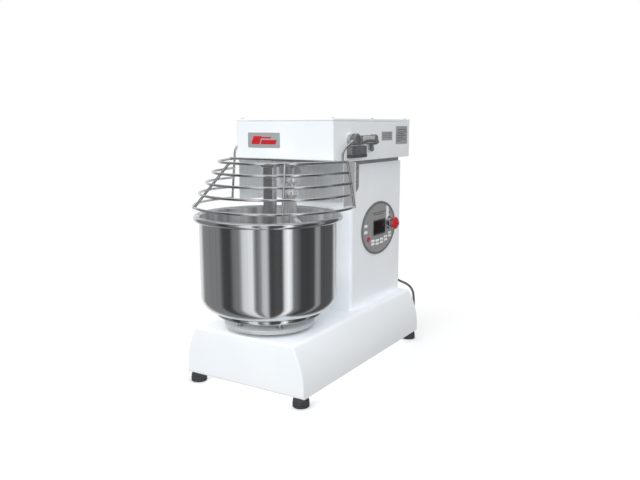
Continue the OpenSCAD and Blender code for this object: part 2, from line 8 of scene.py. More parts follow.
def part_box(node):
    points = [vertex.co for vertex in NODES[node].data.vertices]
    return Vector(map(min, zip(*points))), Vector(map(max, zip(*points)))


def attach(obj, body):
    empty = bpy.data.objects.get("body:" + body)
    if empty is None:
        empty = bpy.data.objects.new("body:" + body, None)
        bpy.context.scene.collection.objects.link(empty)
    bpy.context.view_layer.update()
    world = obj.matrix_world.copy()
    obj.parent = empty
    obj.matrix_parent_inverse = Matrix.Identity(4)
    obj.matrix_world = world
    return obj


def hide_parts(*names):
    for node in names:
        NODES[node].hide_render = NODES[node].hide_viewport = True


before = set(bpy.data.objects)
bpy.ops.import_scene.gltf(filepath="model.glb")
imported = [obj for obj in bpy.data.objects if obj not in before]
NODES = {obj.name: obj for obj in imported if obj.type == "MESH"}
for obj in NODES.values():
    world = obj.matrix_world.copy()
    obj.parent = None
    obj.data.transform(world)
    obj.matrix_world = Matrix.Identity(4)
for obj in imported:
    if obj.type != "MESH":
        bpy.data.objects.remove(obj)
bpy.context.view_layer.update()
MM = 0.001


# ---------------------------------------------------------------- shader helpers
class Shader:
    """A principled material with short calls for the nodes that feed it."""

    def __init__(self, name, colour, roughness, metallic=0.0, coat=0.0, anisotropic=0.0):
        self.material = bpy.data.materials.new(name)
        self.material.use_nodes = True
        self.tree = self.material.node_tree
        self.bsdf = self.tree.nodes["Principled BSDF"]
        self.bsdf.inputs["Base Color"].default_value = (*colour, 1.0)
        self.bsdf.inputs["Roughness"].default_value = roughness
        self.bsdf.inputs["Metallic"].default_value = metallic
        self.bsdf.inputs["Coat Weight"].default_value = coat
        self.bsdf.inputs["Coat Roughness"].default_value = 0.08
        self.bsdf.inputs["Anisotropic"].default_value = anisotropic
        self.bsdf.inputs["IOR"].default_value = 1.45
        self.where = self.add("ShaderNodeTexCoord").outputs["Object"]

    def add(self, kind, **values):
        node = self.tree.nodes.new(kind)
        for key, value in values.items():
            if hasattr(node, key):
                setattr(node, key, value)
            else:
                node.inputs[key].default_value = value
        return node

    def link(self, output, socket):
        self.tree.links.new(output, socket)

    def stretched(self, scale):
        """Object coordinates, scaled by axis."""
        node = self.add("ShaderNodeMapping")
        node.inputs["Scale"].default_value = scale
        self.link(self.where, node.inputs["Vector"])
        return node.outputs["Vector"]

    def noise(self, scale, detail, vector=None):
        node = self.add("ShaderNodeTexNoise", Scale=scale, Detail=detail, Roughness=0.55)
        self.link(vector if vector else self.where, node.inputs["Vector"])
        return node.outputs["Fac"]

    def ramp(self, factor, stops):
        """A colour ramp over (position, colour) stops."""
        node = self.add("ShaderNodeValToRGB")
        elements = node.color_ramp.elements
        while len(elements) < len(stops):
            elements.new(0.5)
        for element, (position, colour) in zip(elements, stops):
            element.position = position
            element.color = (*colour, 1.0)
        self.link(factor, node.inputs["Fac"])
        return node.outputs["Color"]

    def spread(self, factor, low, high):
        """The factor's range 0 to 1 taken to low to high."""
        node = self.add("ShaderNodeMapRange")
        node.inputs["To Min"].default_value = low
        node.inputs["To Max"].default_value = high
        self.link(factor, node.inputs["Value"])
        return node.outputs["Result"]

    def colour_from(self, factor, dark, light):
        self.link(self.ramp(factor, [(0.25, dark), (0.75, light)]), self.bsdf.inputs["Base Color"])

    def roughness_from(self, factor, low, high):
        self.link(self.spread(factor, low, high), self.bsdf.inputs["Roughness"])

    def bump_from(self, factor, strength, distance):
        node = self.add("ShaderNodeBump", Strength=strength, Distance=distance)
        self.link(factor, node.inputs["Height"])
        self.link(node.outputs["Normal"], self.bsdf.inputs["Normal"])


def painted(name, colour, roughness, tone, gloss=None, grain=None, metallic=0.0, coat=0.0):
    """A material with one noise in its colour, and if asked others in its gloss and its surface.

    tone and gloss are (noise scale, detail, low end, high end).
    grain is (noise scale, detail, strength, depth).
    """
    s = Shader(name, colour, roughness, metallic=metallic, coat=coat)
    scale, detail, dark, light = tone
    s.colour_from(s.noise(scale, detail), dark, light)
    if gloss:
        scale, detail, low, high = gloss
        s.roughness_from(s.noise(scale, detail), low, high)
    if grain:
        scale, detail, strength, depth = grain
        s.bump_from(s.noise(scale, detail), strength, depth)
    return s.material


def grained(name, colour, roughness, metallic, scale, stretch, tone, gloss, anisotropic=0.0):
    """Sheet metal, with one stretched noise in both its colour and its gloss."""
    s = Shader(name, colour, roughness, metallic=metallic, anisotropic=anisotropic)
    lines = s.noise(scale, 3.0 if scale < 2.0 else 4.0, s.stretched(stretch))
    s.colour_from(lines, *tone)
    s.roughness_from(lines, *gloss)
    return s.material


def brushed_round(name, roughness, colour):
    """Spun stainless: fine lines round a vertical axis, which smear what it mirrors up and down."""
    s = Shader(name, colour, roughness, metallic=1.0, anisotropic=0.85)
    s.bsdf.inputs["Anisotropic Rotation"].default_value = 0.25
    lines = s.noise(3.0, 4.0, s.stretched((1.0, 1.0, 420.0)))
    s.colour_from(lines, [c - 0.02 for c in colour], [c + 0.02 for c in colour])
    s.roughness_from(lines, roughness - 0.03, roughness + 0.04)
    tangent = s.add("ShaderNodeTangent", direction_type="RADIAL", axis="Z")
    s.link(tangent.outputs["Tangent"], s.bsdf.inputs["Tangent"])
    return s.material


# powder coat with a faint orange peel
WHITE = painted("white_enamel", (0.83, 0.865, 0.895), 0.30, tone=(9.0, 4.0, (0.815, 0.852, 0.885),
        (0.845, 0.880, 0.910)), gloss=(30.0, 3.0, 0.26, 0.36), grain=(900.0, 2.0, 0.10, 0.0003), coat=0.2)
BOWL_STEEL = brushed_round("bowl_steel", 0.16, (0.63, 0.65, 0.665))
# the bowl's inside: tall bands from near black to white in its colour are a painted reflection of bright and
# dark screens
BOWL_INSIDE_PAINTED_REFLECTIONS = grained("bowl_inside_painted_reflections", (0.80, 0.81, 0.82), 0.24, 0.5, 1.0, (24.0, 24.0, 0.5),
        tone=((0.16, 0.17, 0.18), (1.0, 1.0, 1.0)), gloss=(0.18, 0.30))
HOOK_STEEL = painted("hook_steel", (0.88, 0.89, 0.90), 0.22, tone=(35.0, 4.0, (0.84, 0.85, 0.86),
        (0.92, 0.93, 0.94)), gloss=(80.0, 3.0, 0.14, 0.28), grain=(160.0, 3.0, 0.05, 0.0004), metallic=0.75)
WIRE = painted("polished_wire", (0.60, 0.61, 0.62), 0.14, tone=(60.0, 3.0, (0.54, 0.55, 0.56),
        (0.66, 0.67, 0.68)), gloss=(140.0, 2.0, 0.08, 0.22), metallic=1.0)
SHEET = grained("sheet_steel", (0.66, 0.67, 0.68), 0.24, 1.0, 5.0, (200.0, 200.0, 2.0),
        tone=((0.62, 0.63, 0.64), (0.72, 0.73, 0.74)), gloss=(0.18, 0.30), anisotropic=0.4)
SHIELD_STEEL = grained("shield_steel", (0.84, 0.86, 0.875), 0.32, 0.6, 5.0, (60.0, 60.0, 2.0),
        tone=((0.76, 0.78, 0.795), (0.92, 0.94, 0.955)), gloss=(0.24, 0.40))
BADGE_STEEL = grained("badge_steel", (0.50, 0.515, 0.525), 0.38, 0.45, 6.0, (4.0, 4.0, 500.0),
        tone=((0.42, 0.435, 0.445), (0.58, 0.595, 0.605)), gloss=(0.30, 0.46))
ZINC = painted("zinc_plate", (0.55, 0.56, 0.57), 0.34, tone=(40.0, 4.0, (0.46, 0.47, 0.48),
        (0.62, 0.63, 0.64)), gloss=(90.0, 3.0, 0.26, 0.44), metallic=0.9)
RUBBER = painted("black_rubber", (0.028, 0.028, 0.031), 0.62, tone=(70.0, 4.0, (0.030, 0.031, 0.034),
        (0.062, 0.064, 0.068)), gloss=(50.0, 3.0, 0.50, 0.74), grain=(1400.0, 2.0, 0.2, 0.0002))
CORD_JACKET = painted("cord_jacket", (0.10, 0.103, 0.108), 0.5, tone=(50.0, 3.0, (0.085, 0.088, 0.093),
        (0.125, 0.128, 0.134)), gloss=(70.0, 2.0, 0.42, 0.58))
DARK = painted("dark_plastic", (0.07, 0.072, 0.078), 0.42, tone=(60.0, 3.0, (0.055, 0.057, 0.062),
        (0.095, 0.098, 0.105)), gloss=(80.0, 3.0, 0.34, 0.52), grain=(1800.0, 2.0, 0.15, 0.0002))
# dark grey paint that is also painted shade: on the seat band under the head and on the shield's bracket
# plates its darkness stands in for shade
DARK_GREY_AND_SHADE = painted("dark_grey_with_painted_shade", (0.22, 0.23, 0.24), 0.45, tone=(40.0, 3.0, (0.20, 0.21, 0.22),
        (0.25, 0.26, 0.27)), gloss=(60.0, 3.0, 0.38, 0.52))
OVERLAY = painted("grey_overlay", (0.25, 0.25, 0.255), 0.42, tone=(30.0, 3.0, (0.275, 0.276, 0.282),
        (0.310, 0.311, 0.317)), grain=(2500.0, 2.0, 0.1, 0.0001), coat=0.1)
GLASS = painted("display_glass", (0.006, 0.006, 0.007), 0.22, tone=(20.0, 2.0, (0.004, 0.004, 0.005),
        (0.012, 0.012, 0.013)))
GLASS.node_tree.nodes["Principled BSDF"].inputs["Specular IOR Level"].default_value = 0.18
KEY_WHITE = painted("white_plastic", (0.80, 0.81, 0.82), 0.32, tone=(50.0, 2.0, (0.77, 0.78, 0.79),
        (0.84, 0.85, 0.86)))
RED = painted("red_plastic", (0.55, 0.012, 0.02), 0.28,
              tone=(45.0, 3.0, (0.48, 0.010, 0.016), (0.62, 0.018, 0.028)),
              gloss=(60.0, 3.0, 0.22, 0.34), coat=0.3)
LABEL = painted("label_plate", (0.42, 0.44, 0.45), 0.38, tone=(60.0, 3.0, (0.38, 0.40, 0.41),
        (0.47, 0.49, 0.50)), metallic=0.3)
TABLE_PAINT = painted("table_paint", (0.50, 0.52, 0.53), 0.40, tone=(30.0, 3.0, (0.46, 0.48, 0.49),
        (0.56, 0.58, 0.59)), gloss=(60.0, 3.0, 0.32, 0.48), metallic=0.2)
SWITCH_METAL = painted("switch_metal", (0.22, 0.225, 0.23), 0.36, tone=(50.0, 4.0, (0.15, 0.155, 0.16),
        (0.30, 0.305, 0.31)), gloss=(90.0, 3.0, 0.28, 0.46), grain=(1500.0, 2.0, 0.15, 0.0002),
        metallic=0.5)
PANEL_RIM = painted("panel_rim", (0.15, 0.155, 0.16), 0.36, tone=(40.0, 3.0, (0.13, 0.135, 0.14),
        (0.18, 0.185, 0.19)), grain=(1800.0, 2.0, 0.12, 0.0002))
MOTOR = painted("motor_enamel", (0.16, 0.19, 0.22), 0.42, tone=(25.0, 3.0, (0.14, 0.165, 0.195),
        (0.19, 0.22, 0.25)))


# ---------------------------------------------------------------- camera
def make_camera():
    data = bpy.data.cameras.new("camera")
    data.sensor_width = 36.0
    data.lens = 37.76
    data.clip_start = 0.05
    camera = bpy.data.objects.new("camera", data)
    camera.location = (1.0558, -1.6304, 0.7036)
    camera.rotation_euler = (math.radians(90.0 - 9.76), 0.0, math.radians(31.74))
    bpy.context.collection.objects.link(camera)
    bpy.context.scene.camera = camera


make_camera()


# ---------------------------------------------------------------- mesh helpers
def new_object(name, mesh, material, smooth=35.0):
    mesh.shade_smooth()
    mesh.set_sharp_from_angle(angle=math.radians(smooth))
    if material:
        mesh.materials.append(material)
    piece = bpy.data.objects.new(name, mesh)
    bpy.context.collection.objects.link(piece)
    return piece


def mesh_from(name, verts, faces, material, smooth=35.0):
    mesh = bpy.data.meshes.new(name)
    mesh.from_pydata([tuple(v) for v in verts], [], faces)
    mesh.validate()
    bm = bmesh.new()
    bm.from_mesh(mesh)
    bmesh.ops.remove_doubles(bm, verts=bm.verts, dist=1e-6)
    bmesh.ops.recalc_face_normals(bm, faces=bm.faces)
    bm.to_mesh(mesh)
    bm.free()
    return new_object(name, mesh, material, smooth)


def catmull(points, steps):
    """A smooth line through the points."""
    pts = [Vector(p) for p in points]
    pts = [2 * pts[0] - pts[1]] + pts + [2 * pts[-1] - pts[-2]]
    out = []
    for i in range(1, len(pts) - 2):
        a, b, c, d = pts[i - 1:i + 3]
        for k in range(steps):
            t = k / steps
            out.append(0.5 * (2 * b + (c - a) * t + (2 * a - 5 * b + 4 * c - d) * t ** 2
                    + (3 * b - a - 3 * c + d) * t ** 3))
    out.append(pts[-2])
    return out


def rounded_path(corners, steps=6):
    """A closed outline from (u, v, radius) corners, each turned with an arc."""
    out = []
    count = len(corners)
    for i, (u, v, radius) in enumerate(corners):
        here = Vector((u, v))
        before = Vector(corners[i - 1][:2]) - here
        after = Vector(corners[(i + 1) % count][:2]) - here
        if radius <= 0:
            out.append(here)
            continue
        half = before.angle(after) / 2
        reach = radius / math.tan(half)
        centre = here + (before.normalized() + after.normalized()).normalized() * (radius / math.sin(half))
        start = here + before.normalized() * reach - centre
        end = here + after.normalized() * reach - centre
        turn = start.angle_signed(end)
        for k in range(steps + 1):
            angle = -turn * k / steps
            out.append(centre + Matrix.Rotation(angle, 2) @ start)
    return out


def rect(a, b, radius, steps=6):
    return rounded_path([(a[0], a[1], radius), (b[0], a[1], radius), (b[0], b[1], radius),
            (a[0], b[1], radius)], steps)


def oval(centre, size, count=96, grow=0.0):
    return [Vector((centre[0] + (size[0] / 2 + grow) * math.cos(2 * math.pi * k / count),
            centre[1] + (size[1] / 2 + grow) * math.sin(2 * math.pi * k / count))) for k in range(count)]


def disc(centre, radius, count=32):
    """A circle as an outline."""
    return oval(centre, (2 * radius, 2 * radius), count)


def inset(outline, amount):
    """The outline moved inwards by amount (it runs anticlockwise)."""
    out = []
    count = len(outline)
    for i, here in enumerate(outline):
        before = here - outline[i - 1]
        after = outline[(i + 1) % count] - here
        if before.length < 1e-9:
            before = after
        if after.length < 1e-9:
            after = before
        n1 = Vector((-before.y, before.x)).normalized()
        n2 = Vector((-after.y, after.x)).normalized()
        middle = (n1 + n2).normalized()
        out.append(here + middle * (amount / max(0.35, middle.dot(n1))))
    return out


def anticlockwise(outline):
    """The outline, turned round if it runs clockwise."""
    area = sum(outline[i - 1].x * p.y - p.x * outline[i - 1].y for i, p in enumerate(outline))
    return outline if area > 0 else outline[::-1]


AXES = {"X": lambda u, v, w: (w, u, v), "Y": lambda u, v, w: (u, w, v), "Z": lambda u, v, w: (u, v, w)}


class Build:
    """Gathers closed shapes into one mesh, in millimetres; make() turns it into an object in metres."""

    def __init__(self):
        self.verts = []
        self.faces = []

    def rings(self, rings, cap_start=True, cap_end=True, loop=False):
        """Skins a list of rings that have the same number of points."""
        base = len(self.verts)
        count = len(rings[0])
        for ring in rings:
            self.verts.extend(Vector(p) for p in ring)
        pairs = [(i, i + 1) for i in range(len(rings) - 1)]
        if loop:
            pairs.append((len(rings) - 1, 0))
        for i, j in pairs:
            for k in range(count):
                m = (k + 1) % count
                self.faces.append((base + i * count + k, base + i * count + m, base + j * count + m,
                        base + j * count + k))
        if not loop and cap_start:
            self.faces.append(tuple(base + k for k in range(count))[::-1])
        if not loop and cap_end:
            self.faces.append(tuple(base + (len(rings) - 1) * count + k for k in range(count)))
        return self

    def prism(self, outline, axis, lo, hi, edge_lo=0.0, edge_hi=0.0, steps=4):
        """An outline drawn out along an axis, with rounded rims of the given radii."""
        outline = anticlockwise([Vector(p) for p in outline])
        levels = []
        for k in range(steps + 1):
            if edge_lo > 0:
                a = math.pi / 2 * k / steps
                levels.append((edge_lo * (1 - math.sin(a)), lo + edge_lo * (1 - math.cos(a))))
            elif k == 0:
                levels.append((0.0, lo))
        for k in range(steps + 1):
            if edge_hi > 0:
                a = math.pi / 2 * k / steps
                levels.append((edge_hi * (1 - math.cos(a)), hi - edge_hi * (1 - math.sin(a))))
            elif k == 0:
                levels.append((0.0, hi))
        put = AXES[axis]
        return self.rings([[put(p.x, p.y, w) for p in inset(outline, t)] for t, w in levels])

    def band(self, outer, inner, axis, lo, hi, edge=0.0, steps=3):
        """A closed band between two outlines of as many points, with rounded rims on the high side."""
        put = AXES[axis]
        rings = [(outer, lo)]
        for k in range(steps + 1):
            a = math.pi / 2 * k / steps
            rings.append((inset(outer, edge * (1 - math.cos(a))), hi - edge * (1 - math.sin(a))))
        for k in range(steps, -1, -1):
            a = math.pi / 2 * k / steps
            rings.append((inset(inner, -edge * (1 - math.cos(a))), hi - edge * (1 - math.sin(a))))
        rings.append((inner, lo))
        return self.rings([[put(p.x, p.y, w) for p in ring] for ring, w in rings], loop=True)

    def lathe(self, profile, centre, axis="Z", segments=96):
        """A profile of (radius, place) points turned about an axis through centre."""
        put = AXES[axis]
        base = len(self.verts)
        index = []
        c = Vector(centre)
        for radius, w in profile:
            if radius < 1e-6:
                index.append([len(self.verts)] * segments)
                self.verts.append(c + Vector(put(0.0, 0.0, w)))
                continue
            row = []
            for k in range(segments):
                a = 2 * math.pi * k / segments
                row.append(len(self.verts))
                self.verts.append(c + Vector(put(radius * math.cos(a), radius * math.sin(a), w)))
            index.append(row)
        for a, b in zip(index, index[1:]):
            for k in range(segments):
                m = (k + 1) % segments
                face = []
                for v in (a[k], a[m], b[m], b[k]):
                    if v not in face:
                        face.append(v)
                if len(face) > 2:
                    self.faces.append(tuple(face))
        return self

    def tube(self, points, radius, sides=16, round_ends=True):
        """A round bar along points; radius is a number or a function of the share of the way."""
        pts = [Vector(p) for p in points]
        size = radius if callable(radius) else (lambda s: radius)
        count = len(pts)
        rings = []
        side = None
        for i, p in enumerate(pts):
            ahead = (pts[min(i + 1, count - 1)] - pts[max(i - 1, 0)]).normalized()
            if side is None:
                side = ahead.orthogonal().normalized()
            side = (side - ahead * side.dot(ahead)).normalized()
            up = ahead.cross(side)
            r = size(i / (count - 1))
            if round_ends and i == 0:
                for k in range(1, 4):
                    a = math.pi / 2 * k / 4
                    rings.append(self.circle(p - ahead * r * math.cos(a), side, up, r * math.sin(a), sides))
            rings.append(self.circle(p, side, up, r, sides))
            if round_ends and i == count - 1:
                for k in range(3, 0, -1):
                    a = math.pi / 2 * k / 4
                    rings.append(self.circle(p + ahead * r * math.cos(a), side, up, r * math.sin(a), sides))
        return self.rings(rings)

    @staticmethod
    def circle(centre, side, up, radius, sides):
        return [centre + side * radius * math.cos(2 * math.pi * k / sides)
                + up * radius * math.sin(2 * math.pi * k / sides) for k in range(sides)]

    def bead(self, place, along, core, swell=1.6, length=9.0, sides=16):
        """A weld bead: a short swelling round a wire of radius core."""
        place = Vector(place)
        along = Vector(along).normalized()
        side = along.orthogonal().normalized()
        up = along.cross(side)
        rings = []
        for k in range(9):
            t = k / 8
            r = core * 0.6 + (core * 0.4 + swell) * math.sin(math.pi * t) ** 0.6
            rings.append(self.circle(place + along * length * (t - 0.5), side, up, r, sides))
        return self.rings(rings)

    def make(self, name, material, smooth=35.0):
        return mesh_from(name, [v * MM for v in self.verts], self.faces, material, smooth)

    def place(self, name, material, smooth, body, slot, *nodes):
        """The mesh as a piece that rides on a body, with the given material, and stands for CAD nodes; slot is
        not used.
        """
        piece = self.make(name, material, smooth)
        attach(piece, body)
        if nodes:
            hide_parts(*nodes)
        return piece


def arc(centre, radius, start, end, steps):
    """Points of an arc, angles in degrees."""
    return [(centre[0] + radius * math.cos(math.radians(start + (end - start) * k / steps)),
            centre[1] + radius * math.sin(math.radians(start + (end - start) * k / steps)))
            for k in range(steps + 1)]


def mm_box(node):
    """A CAD node's box in millimetres."""
    low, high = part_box(node)
    return Vector(low) / MM, Vector(high) / MM


base_lo, base_hi = mm_box("base_shell")
column_lo, column_hi = mm_box("column_shell")
head_lo, head_hi = mm_box("head_shell")
lid_lo, lid_hi = mm_box("head_lid")
bowl_lo, bowl_hi = mm_box("bowl")
BOWL_Y = (bowl_lo.y + bowl_hi.y) / 2
hook_lo, hook_hi = mm_box("hook_shaft")
HOOK_Y = (hook_lo.y + hook_hi.y) / 2
FOOT_TOP = base_lo.z


# ---------------------------------------------------------------- power cord
CORD_D = 0.008
CORD_ROUTE = [
    (60, 408, 188), (60, 418, 187), (62, 431, 184), (69, 443, 180), (80, 451, 174), (93, 454, 168),
    (106, 455, 164), (118, 455, 160), (130, 455, 153), (139, 455, 143), (144, 455, 131), (146, 455, 116),
    (147, 455, 100), (147, 455, 84), (147, 456, 68), (145, 459, 50), (139, 465, 32), (129, 473, 18),
    (115, 481, 9), (99, 488, 5), (80, 495, 4), (60, 500, 4), (40, 503, 4)]
COIL_CENTRE = Vector((0.020, 0.456, 0.0))
# the coil's turns: (angle in degrees, radius and height in millimetres) where the strand changes place
COIL_STEPS = [(90, 48.25, 4), (190, 48.25, 4), (280, 48.25, 12), (550, 48.25, 12), (640, 48.25, 20),
        (780, 48.25, 20), (910, 39.75, 20), (1180, 39.75, 20), (1270, 39.75, 12), (1540, 39.75, 12),
        (1630, 39.75, 4), (1710, 39.75, 4)]
CORD_TAIL = [(20, 416.25, 4), (34, 414.3, 4), (48, 409.9, 4), (62, 408, 4)]


def coil_points():
    out = []
    for (a0, r0, z0), (a1, r1, z1) in zip(COIL_STEPS, COIL_STEPS[1:]):
        count = max(2, round((a1 - a0) / 10))
        for k in range(count):
            t = k / count
            ease = t * t * (3 - 2 * t)
            angle = math.radians(a0 + (a1 - a0) * t)
            radius = (r0 + (r1 - r0) * ease) * MM
            height = (z0 + (z1 - z0) * ease) * MM
            out.append(COIL_CENTRE + Vector((radius * math.cos(angle), radius * math.sin(angle), height)))
    return out


def make_cord():
    lead = catmull([Vector(p) * MM for p in CORD_ROUTE], 4)
    tail = catmull([Vector(p) * MM for p in CORD_TAIL], 3)
    line = lead[:-1] + coil_points() + tail
    curve = bpy.data.curves.new("power_cord", "CURVE")
    curve.dimensions = "3D"
    curve.bevel_depth = CORD_D / 2
    curve.bevel_resolution = 5
    curve.use_fill_caps = True
    spline = curve.splines.new("POLY")
    spline.points.add(len(line) - 1)
    for point, place in zip(spline.points, line):
        point.co = (*place, 1.0)
    spline.use_smooth = True
    piece = bpy.data.objects.new("power_cord", curve)
    bpy.context.collection.objects.link(piece)
    curve.materials.append(CORD_JACKET)
    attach(piece, "frame")
    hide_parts("cord", "cord_coil")
    length = sum((b - a).length for a, b in zip(line, line[1:]))
    return piece, length


# ---------------------------------------------------------------- cord's fittings
def make_cord_fittings():
    gland = Build()
    rear = column_hi.y + 2
    profile = [(4.05, rear - 2), (13, rear - 2), (13.6, rear - 0.5), (13.6, rear + 5), (12.6, rear + 7.5),
            (9.6, rear + 8)]
    for k in range(7):
        y0 = rear + 9.5 + 4.3 * k
        r = 9.2 - 0.45 * k
        profile += [(r, y0), (r, y0 + 2.3), (r - 1.1, y0 + 2.7), (r - 1.1, y0 + 4.0)]
    profile += [(5.6, rear + 40), (4.05, rear + 40), (4.05, rear - 2)]
    gland.lathe(profile, (CORD_ROUTE[0][0], 0, CORD_ROUTE[0][2]), "Y", 48)
    relief = gland.place("cord_strain_relief", RUBBER, 40, "frame", "black_rubber", "cord_gland")
    lo, hi = mm_box("plug")
    back = lo.x
    body = Build()
    outline = rounded_path([(back, 400, 3), (back + 10, 397, 8), (back + 20, 395.4, 6),
            (back + 42, 395.4, 4), (back + 42, 420.6, 4), (back + 20, 420.6, 6), (back + 10, 419, 8),
            (back, 416, 3)], 6)
    body.prism(outline, "Z", 0.3, 25.7, 5.0, 5.0, 6)
    for k in range(3):
        for s in (-1, 1):
            x, y = back + 14 + 4 * k, 408 + s * 12.6
            body.prism(rect((x, y - 0.9), (x + 2, y + 0.9), 0.6), "Z", 6, 20, 0.5, 0.5)
    plug = body.place("plug_body", RUBBER, 40, "frame", "black_rubber", "plug")
    pins = Build()
    for y in (401, 415):
        pins.lathe([(0, back + 41), (2.4, back + 41), (2.4, back + 58), (1.6, back + 60.4),
                (0, back + 60.8)], (0, y, 13), "X", 24)
    prongs = pins.place("plug_pins", WIRE, 40, "frame", "zinc_steel")
    tie_lo, tie_hi = mm_box("cord_tie")
    strap = Build()
    middle = (tie_lo + tie_hi) / 2
    loop = rect((middle.x - 9.6, 0.2), (middle.x + 9.6, 25.2), 5.0, 6)
    hole = rect((middle.x - 9.0, 0.8), (middle.x + 9.0, 24.6), 4.4, 6)
    y0, y1 = tie_lo.y + 1, tie_hi.y - 1
    strap.rings([[(p.x, y, p.y) for p in line] for line, y in ((loop, y0), (loop, y1), (hole, y1),
            (hole, y0))], loop=True)
    band = strap.place("coil_strap", RUBBER, 40, "frame", "black_rubber", "cord_tie")
    return [relief, plug, prongs, band]


cord, cord_length = make_cord()
make_cord_fittings()

# ---------------------------------------------------------------- base
def base_outline():
    """The front view: short upright sides, a wide arc inwards, round shoulders and a flat top."""
    side_arc, shoulder, upright = 215.0, 16.0, 45.0
    centre = (base_hi.x - side_arc, upright)
    rise = base_hi.z - shoulder - upright
    shoulder_x = centre[0] + math.sqrt((side_arc - shoulder) ** 2 - rise ** 2)
    lean = math.degrees(math.atan2(rise, shoulder_x - centre[0]))
    right = [(base_hi.x, FOOT_TOP)] + arc(centre, side_arc, 0, lean, 16)
    right += arc((shoulder_x, base_hi.z - shoulder), shoulder, lean, 90, 8)[1:]
    return right + [(-x, z) for x, z in reversed(right)]


def make_base():
    b = Build().prism(base_outline(), "Y", base_lo.y, base_hi.y, 6.0, 4.0, 5)
    b.place("base_body", WHITE, 25, "frame", "white_paint", "base_shell")
    # the sheet under it, with six screws
    plate = Build().prism(rect((base_lo.x + 6, base_lo.y + 6), (base_hi.x - 6, base_hi.y - 6), 5), "Z",
            FOOT_TOP - 0.8, FOOT_TOP + 3, 0.5, 0.0)
    for x in (-150, 0, 150):
        for y in (base_lo.y + 14, base_hi.y - 14):
            plate.lathe([(0, FOOT_TOP - 2.4), (3.0, FOOT_TOP - 2.2), (4.4, FOOT_TOP - 0.8),
                    (0, FOOT_TOP - 0.8)], (x, y, 0), segments=24)
    plate.place("bottom_plate", ZINC, 35, "frame", "zinc_steel", "base_plate")


FOOT_PROFILE = [(0, 0), (18.5, 0), (20.4, 0.5), (21.5, 1.8), (22, 3.4), (21.8, 4.8), (20.6, 5.8),
        (20.1, 6.8), (20.6, 7.8), (21.8, 8.8), (22, 10.4), (21.8, 12), (20.6, 13), (20.1, 14), (20.7, 15),
        (21.2, 16.2), (20.6, 19.5), (19, 23), (17.4, 26.2), (16, 27), (0, 27)]


def make_feet():
    lo, hi = mm_box("feet")
    b = Build()
    for x in (lo.x + 22, hi.x - 22):
        for y in (lo.y + 22, hi.y - 22):
            b.lathe(FOOT_PROFILE, (x, y, 0), segments=72)
    b.place("rubber_feet", RUBBER, 50, "frame", "black_rubber", "feet")


# ---------------------------------------------------------------- column and head
def make_column():
    wall, corner = 3.0, 10.0
    x, front, rear = column_hi.x, column_lo.y, column_hi.y
    outer = rounded_path([(-x, rear, 0), (-x, front, corner), (x, front, corner), (x, rear, 0)], 10)
    inner = rounded_path([(-x + wall, rear, 0), (-x + wall, front + wall, corner - wall),
            (x - wall, front + wall, corner - wall), (x - wall, rear, 0)], 10)
    b = Build().prism(outer + inner[::-1], "Z", column_lo.z, column_hi.z)
    # bead of sealant where the column meets the base
    foot = rounded_path([(-x - 1.2, rear - 3, 0), (-x - 1.2, front - 1.2, corner + 1),
            (x + 1.2, front - 1.2, corner + 1), (x + 1.2, rear - 3, 0)], 10)
    b.prism(foot, "Z", column_lo.z - 0.5, column_lo.z + 2.2, 0.0, 1.6)
    b.place("column_body", WHITE, 30, "frame", "white_paint", "column_shell")
    louvres = Build()
    rows = [470 + 12 * k for k in range(8)] + [240 + 12 * k for k in range(6)]
    for z in rows:
        hood = [(column_hi.y + 2, z + 8.5)] + arc((column_hi.y + 1.5, z + 3.5), 5.0, 80, 5, 6)
        hood += arc((column_hi.y + 1.5, z + 3.5), 4.0, 5, 80, 6) + [(column_hi.y + 2, z + 7.4)]
        louvres.prism(hood, "X", -68, 68, 0.0, 0.0)
    louvres.place("louvre_hoods", WHITE, 40, "frame", "white_paint")
    # a dark band where the head sits on the column; its dark grey is partly painted shade for the shadow under
    # the head's overhang
    seat = Build().prism(rect((column_lo.x + 2, front + 2), (x - 2, rear - 6), 8), "Z", column_hi.z,
            head_lo.z)
    seat.place("seat_band_and_shade", DARK_GREY_AND_SHADE, 35, "frame", "dark_parts", "head_seat")


def make_head():
    b = Build().prism(rect((head_lo.x, head_lo.y), (head_hi.x, head_hi.y), 5.0, 8), "Z", head_lo.z,
            head_hi.z, 2.0, 0.0)
    b.place("head_body", WHITE, 30, "frame", "white_paint", "head_shell")
    lid = Build().prism(rect((lid_lo.x, lid_lo.y), (lid_hi.x, lid_hi.y), 6.0, 8), "Z", lid_lo.z + 0.5,
            lid_hi.z, 0.8, 2.2)
    lid.place("lid_body", WHITE, 30, "frame", "white_paint", "head_lid")
    screws = Build()
    for x in (-148, 148):
        for y in (-100, 123, 346):
            screw_head(screws, (x, y, lid_hi.z), "Z", 4.6, 2.0)
    for x in (-116, 116):
        for z in (182, 375, 568):
            screw_head(screws, (x, column_hi.y + 2, z), "Y", 4.6, 2.0)
    screws.place("screw_heads", WIRE, 40, "frame", "zinc_steel", "casing_screws")


def screw_head(b, place, axis, radius, height, socket=0.5, sign=1, sides=28):
    """A button head with a round socket, standing on a thin washer."""
    profile = [(0, 0), (radius * 1.25, 0), (radius * 1.3, 0.25), (radius * 1.25, 0.5), (radius * 1.02, 0.55)]
    profile += [(radius * math.cos(a), 0.55 + (height - 0.55) * math.sin(a))
            for a in [math.radians(v) for v in (15, 35, 55)]]
    profile += [(radius * socket, height), (radius * socket * 0.94, height - 0.3),
            (radius * socket * 0.9, height * 0.45), (0, height * 0.4)]
    put = AXES[axis]
    offset = {"X": place[0], "Y": place[1], "Z": place[2]}[axis]
    centre = {"X": (0, place[1], place[2]), "Y": (place[0], 0, place[2]), "Z": (place[0], place[1], 0)}[axis]
    b.lathe([(r, offset + sign * w) for r, w in profile], centre, axis, sides)


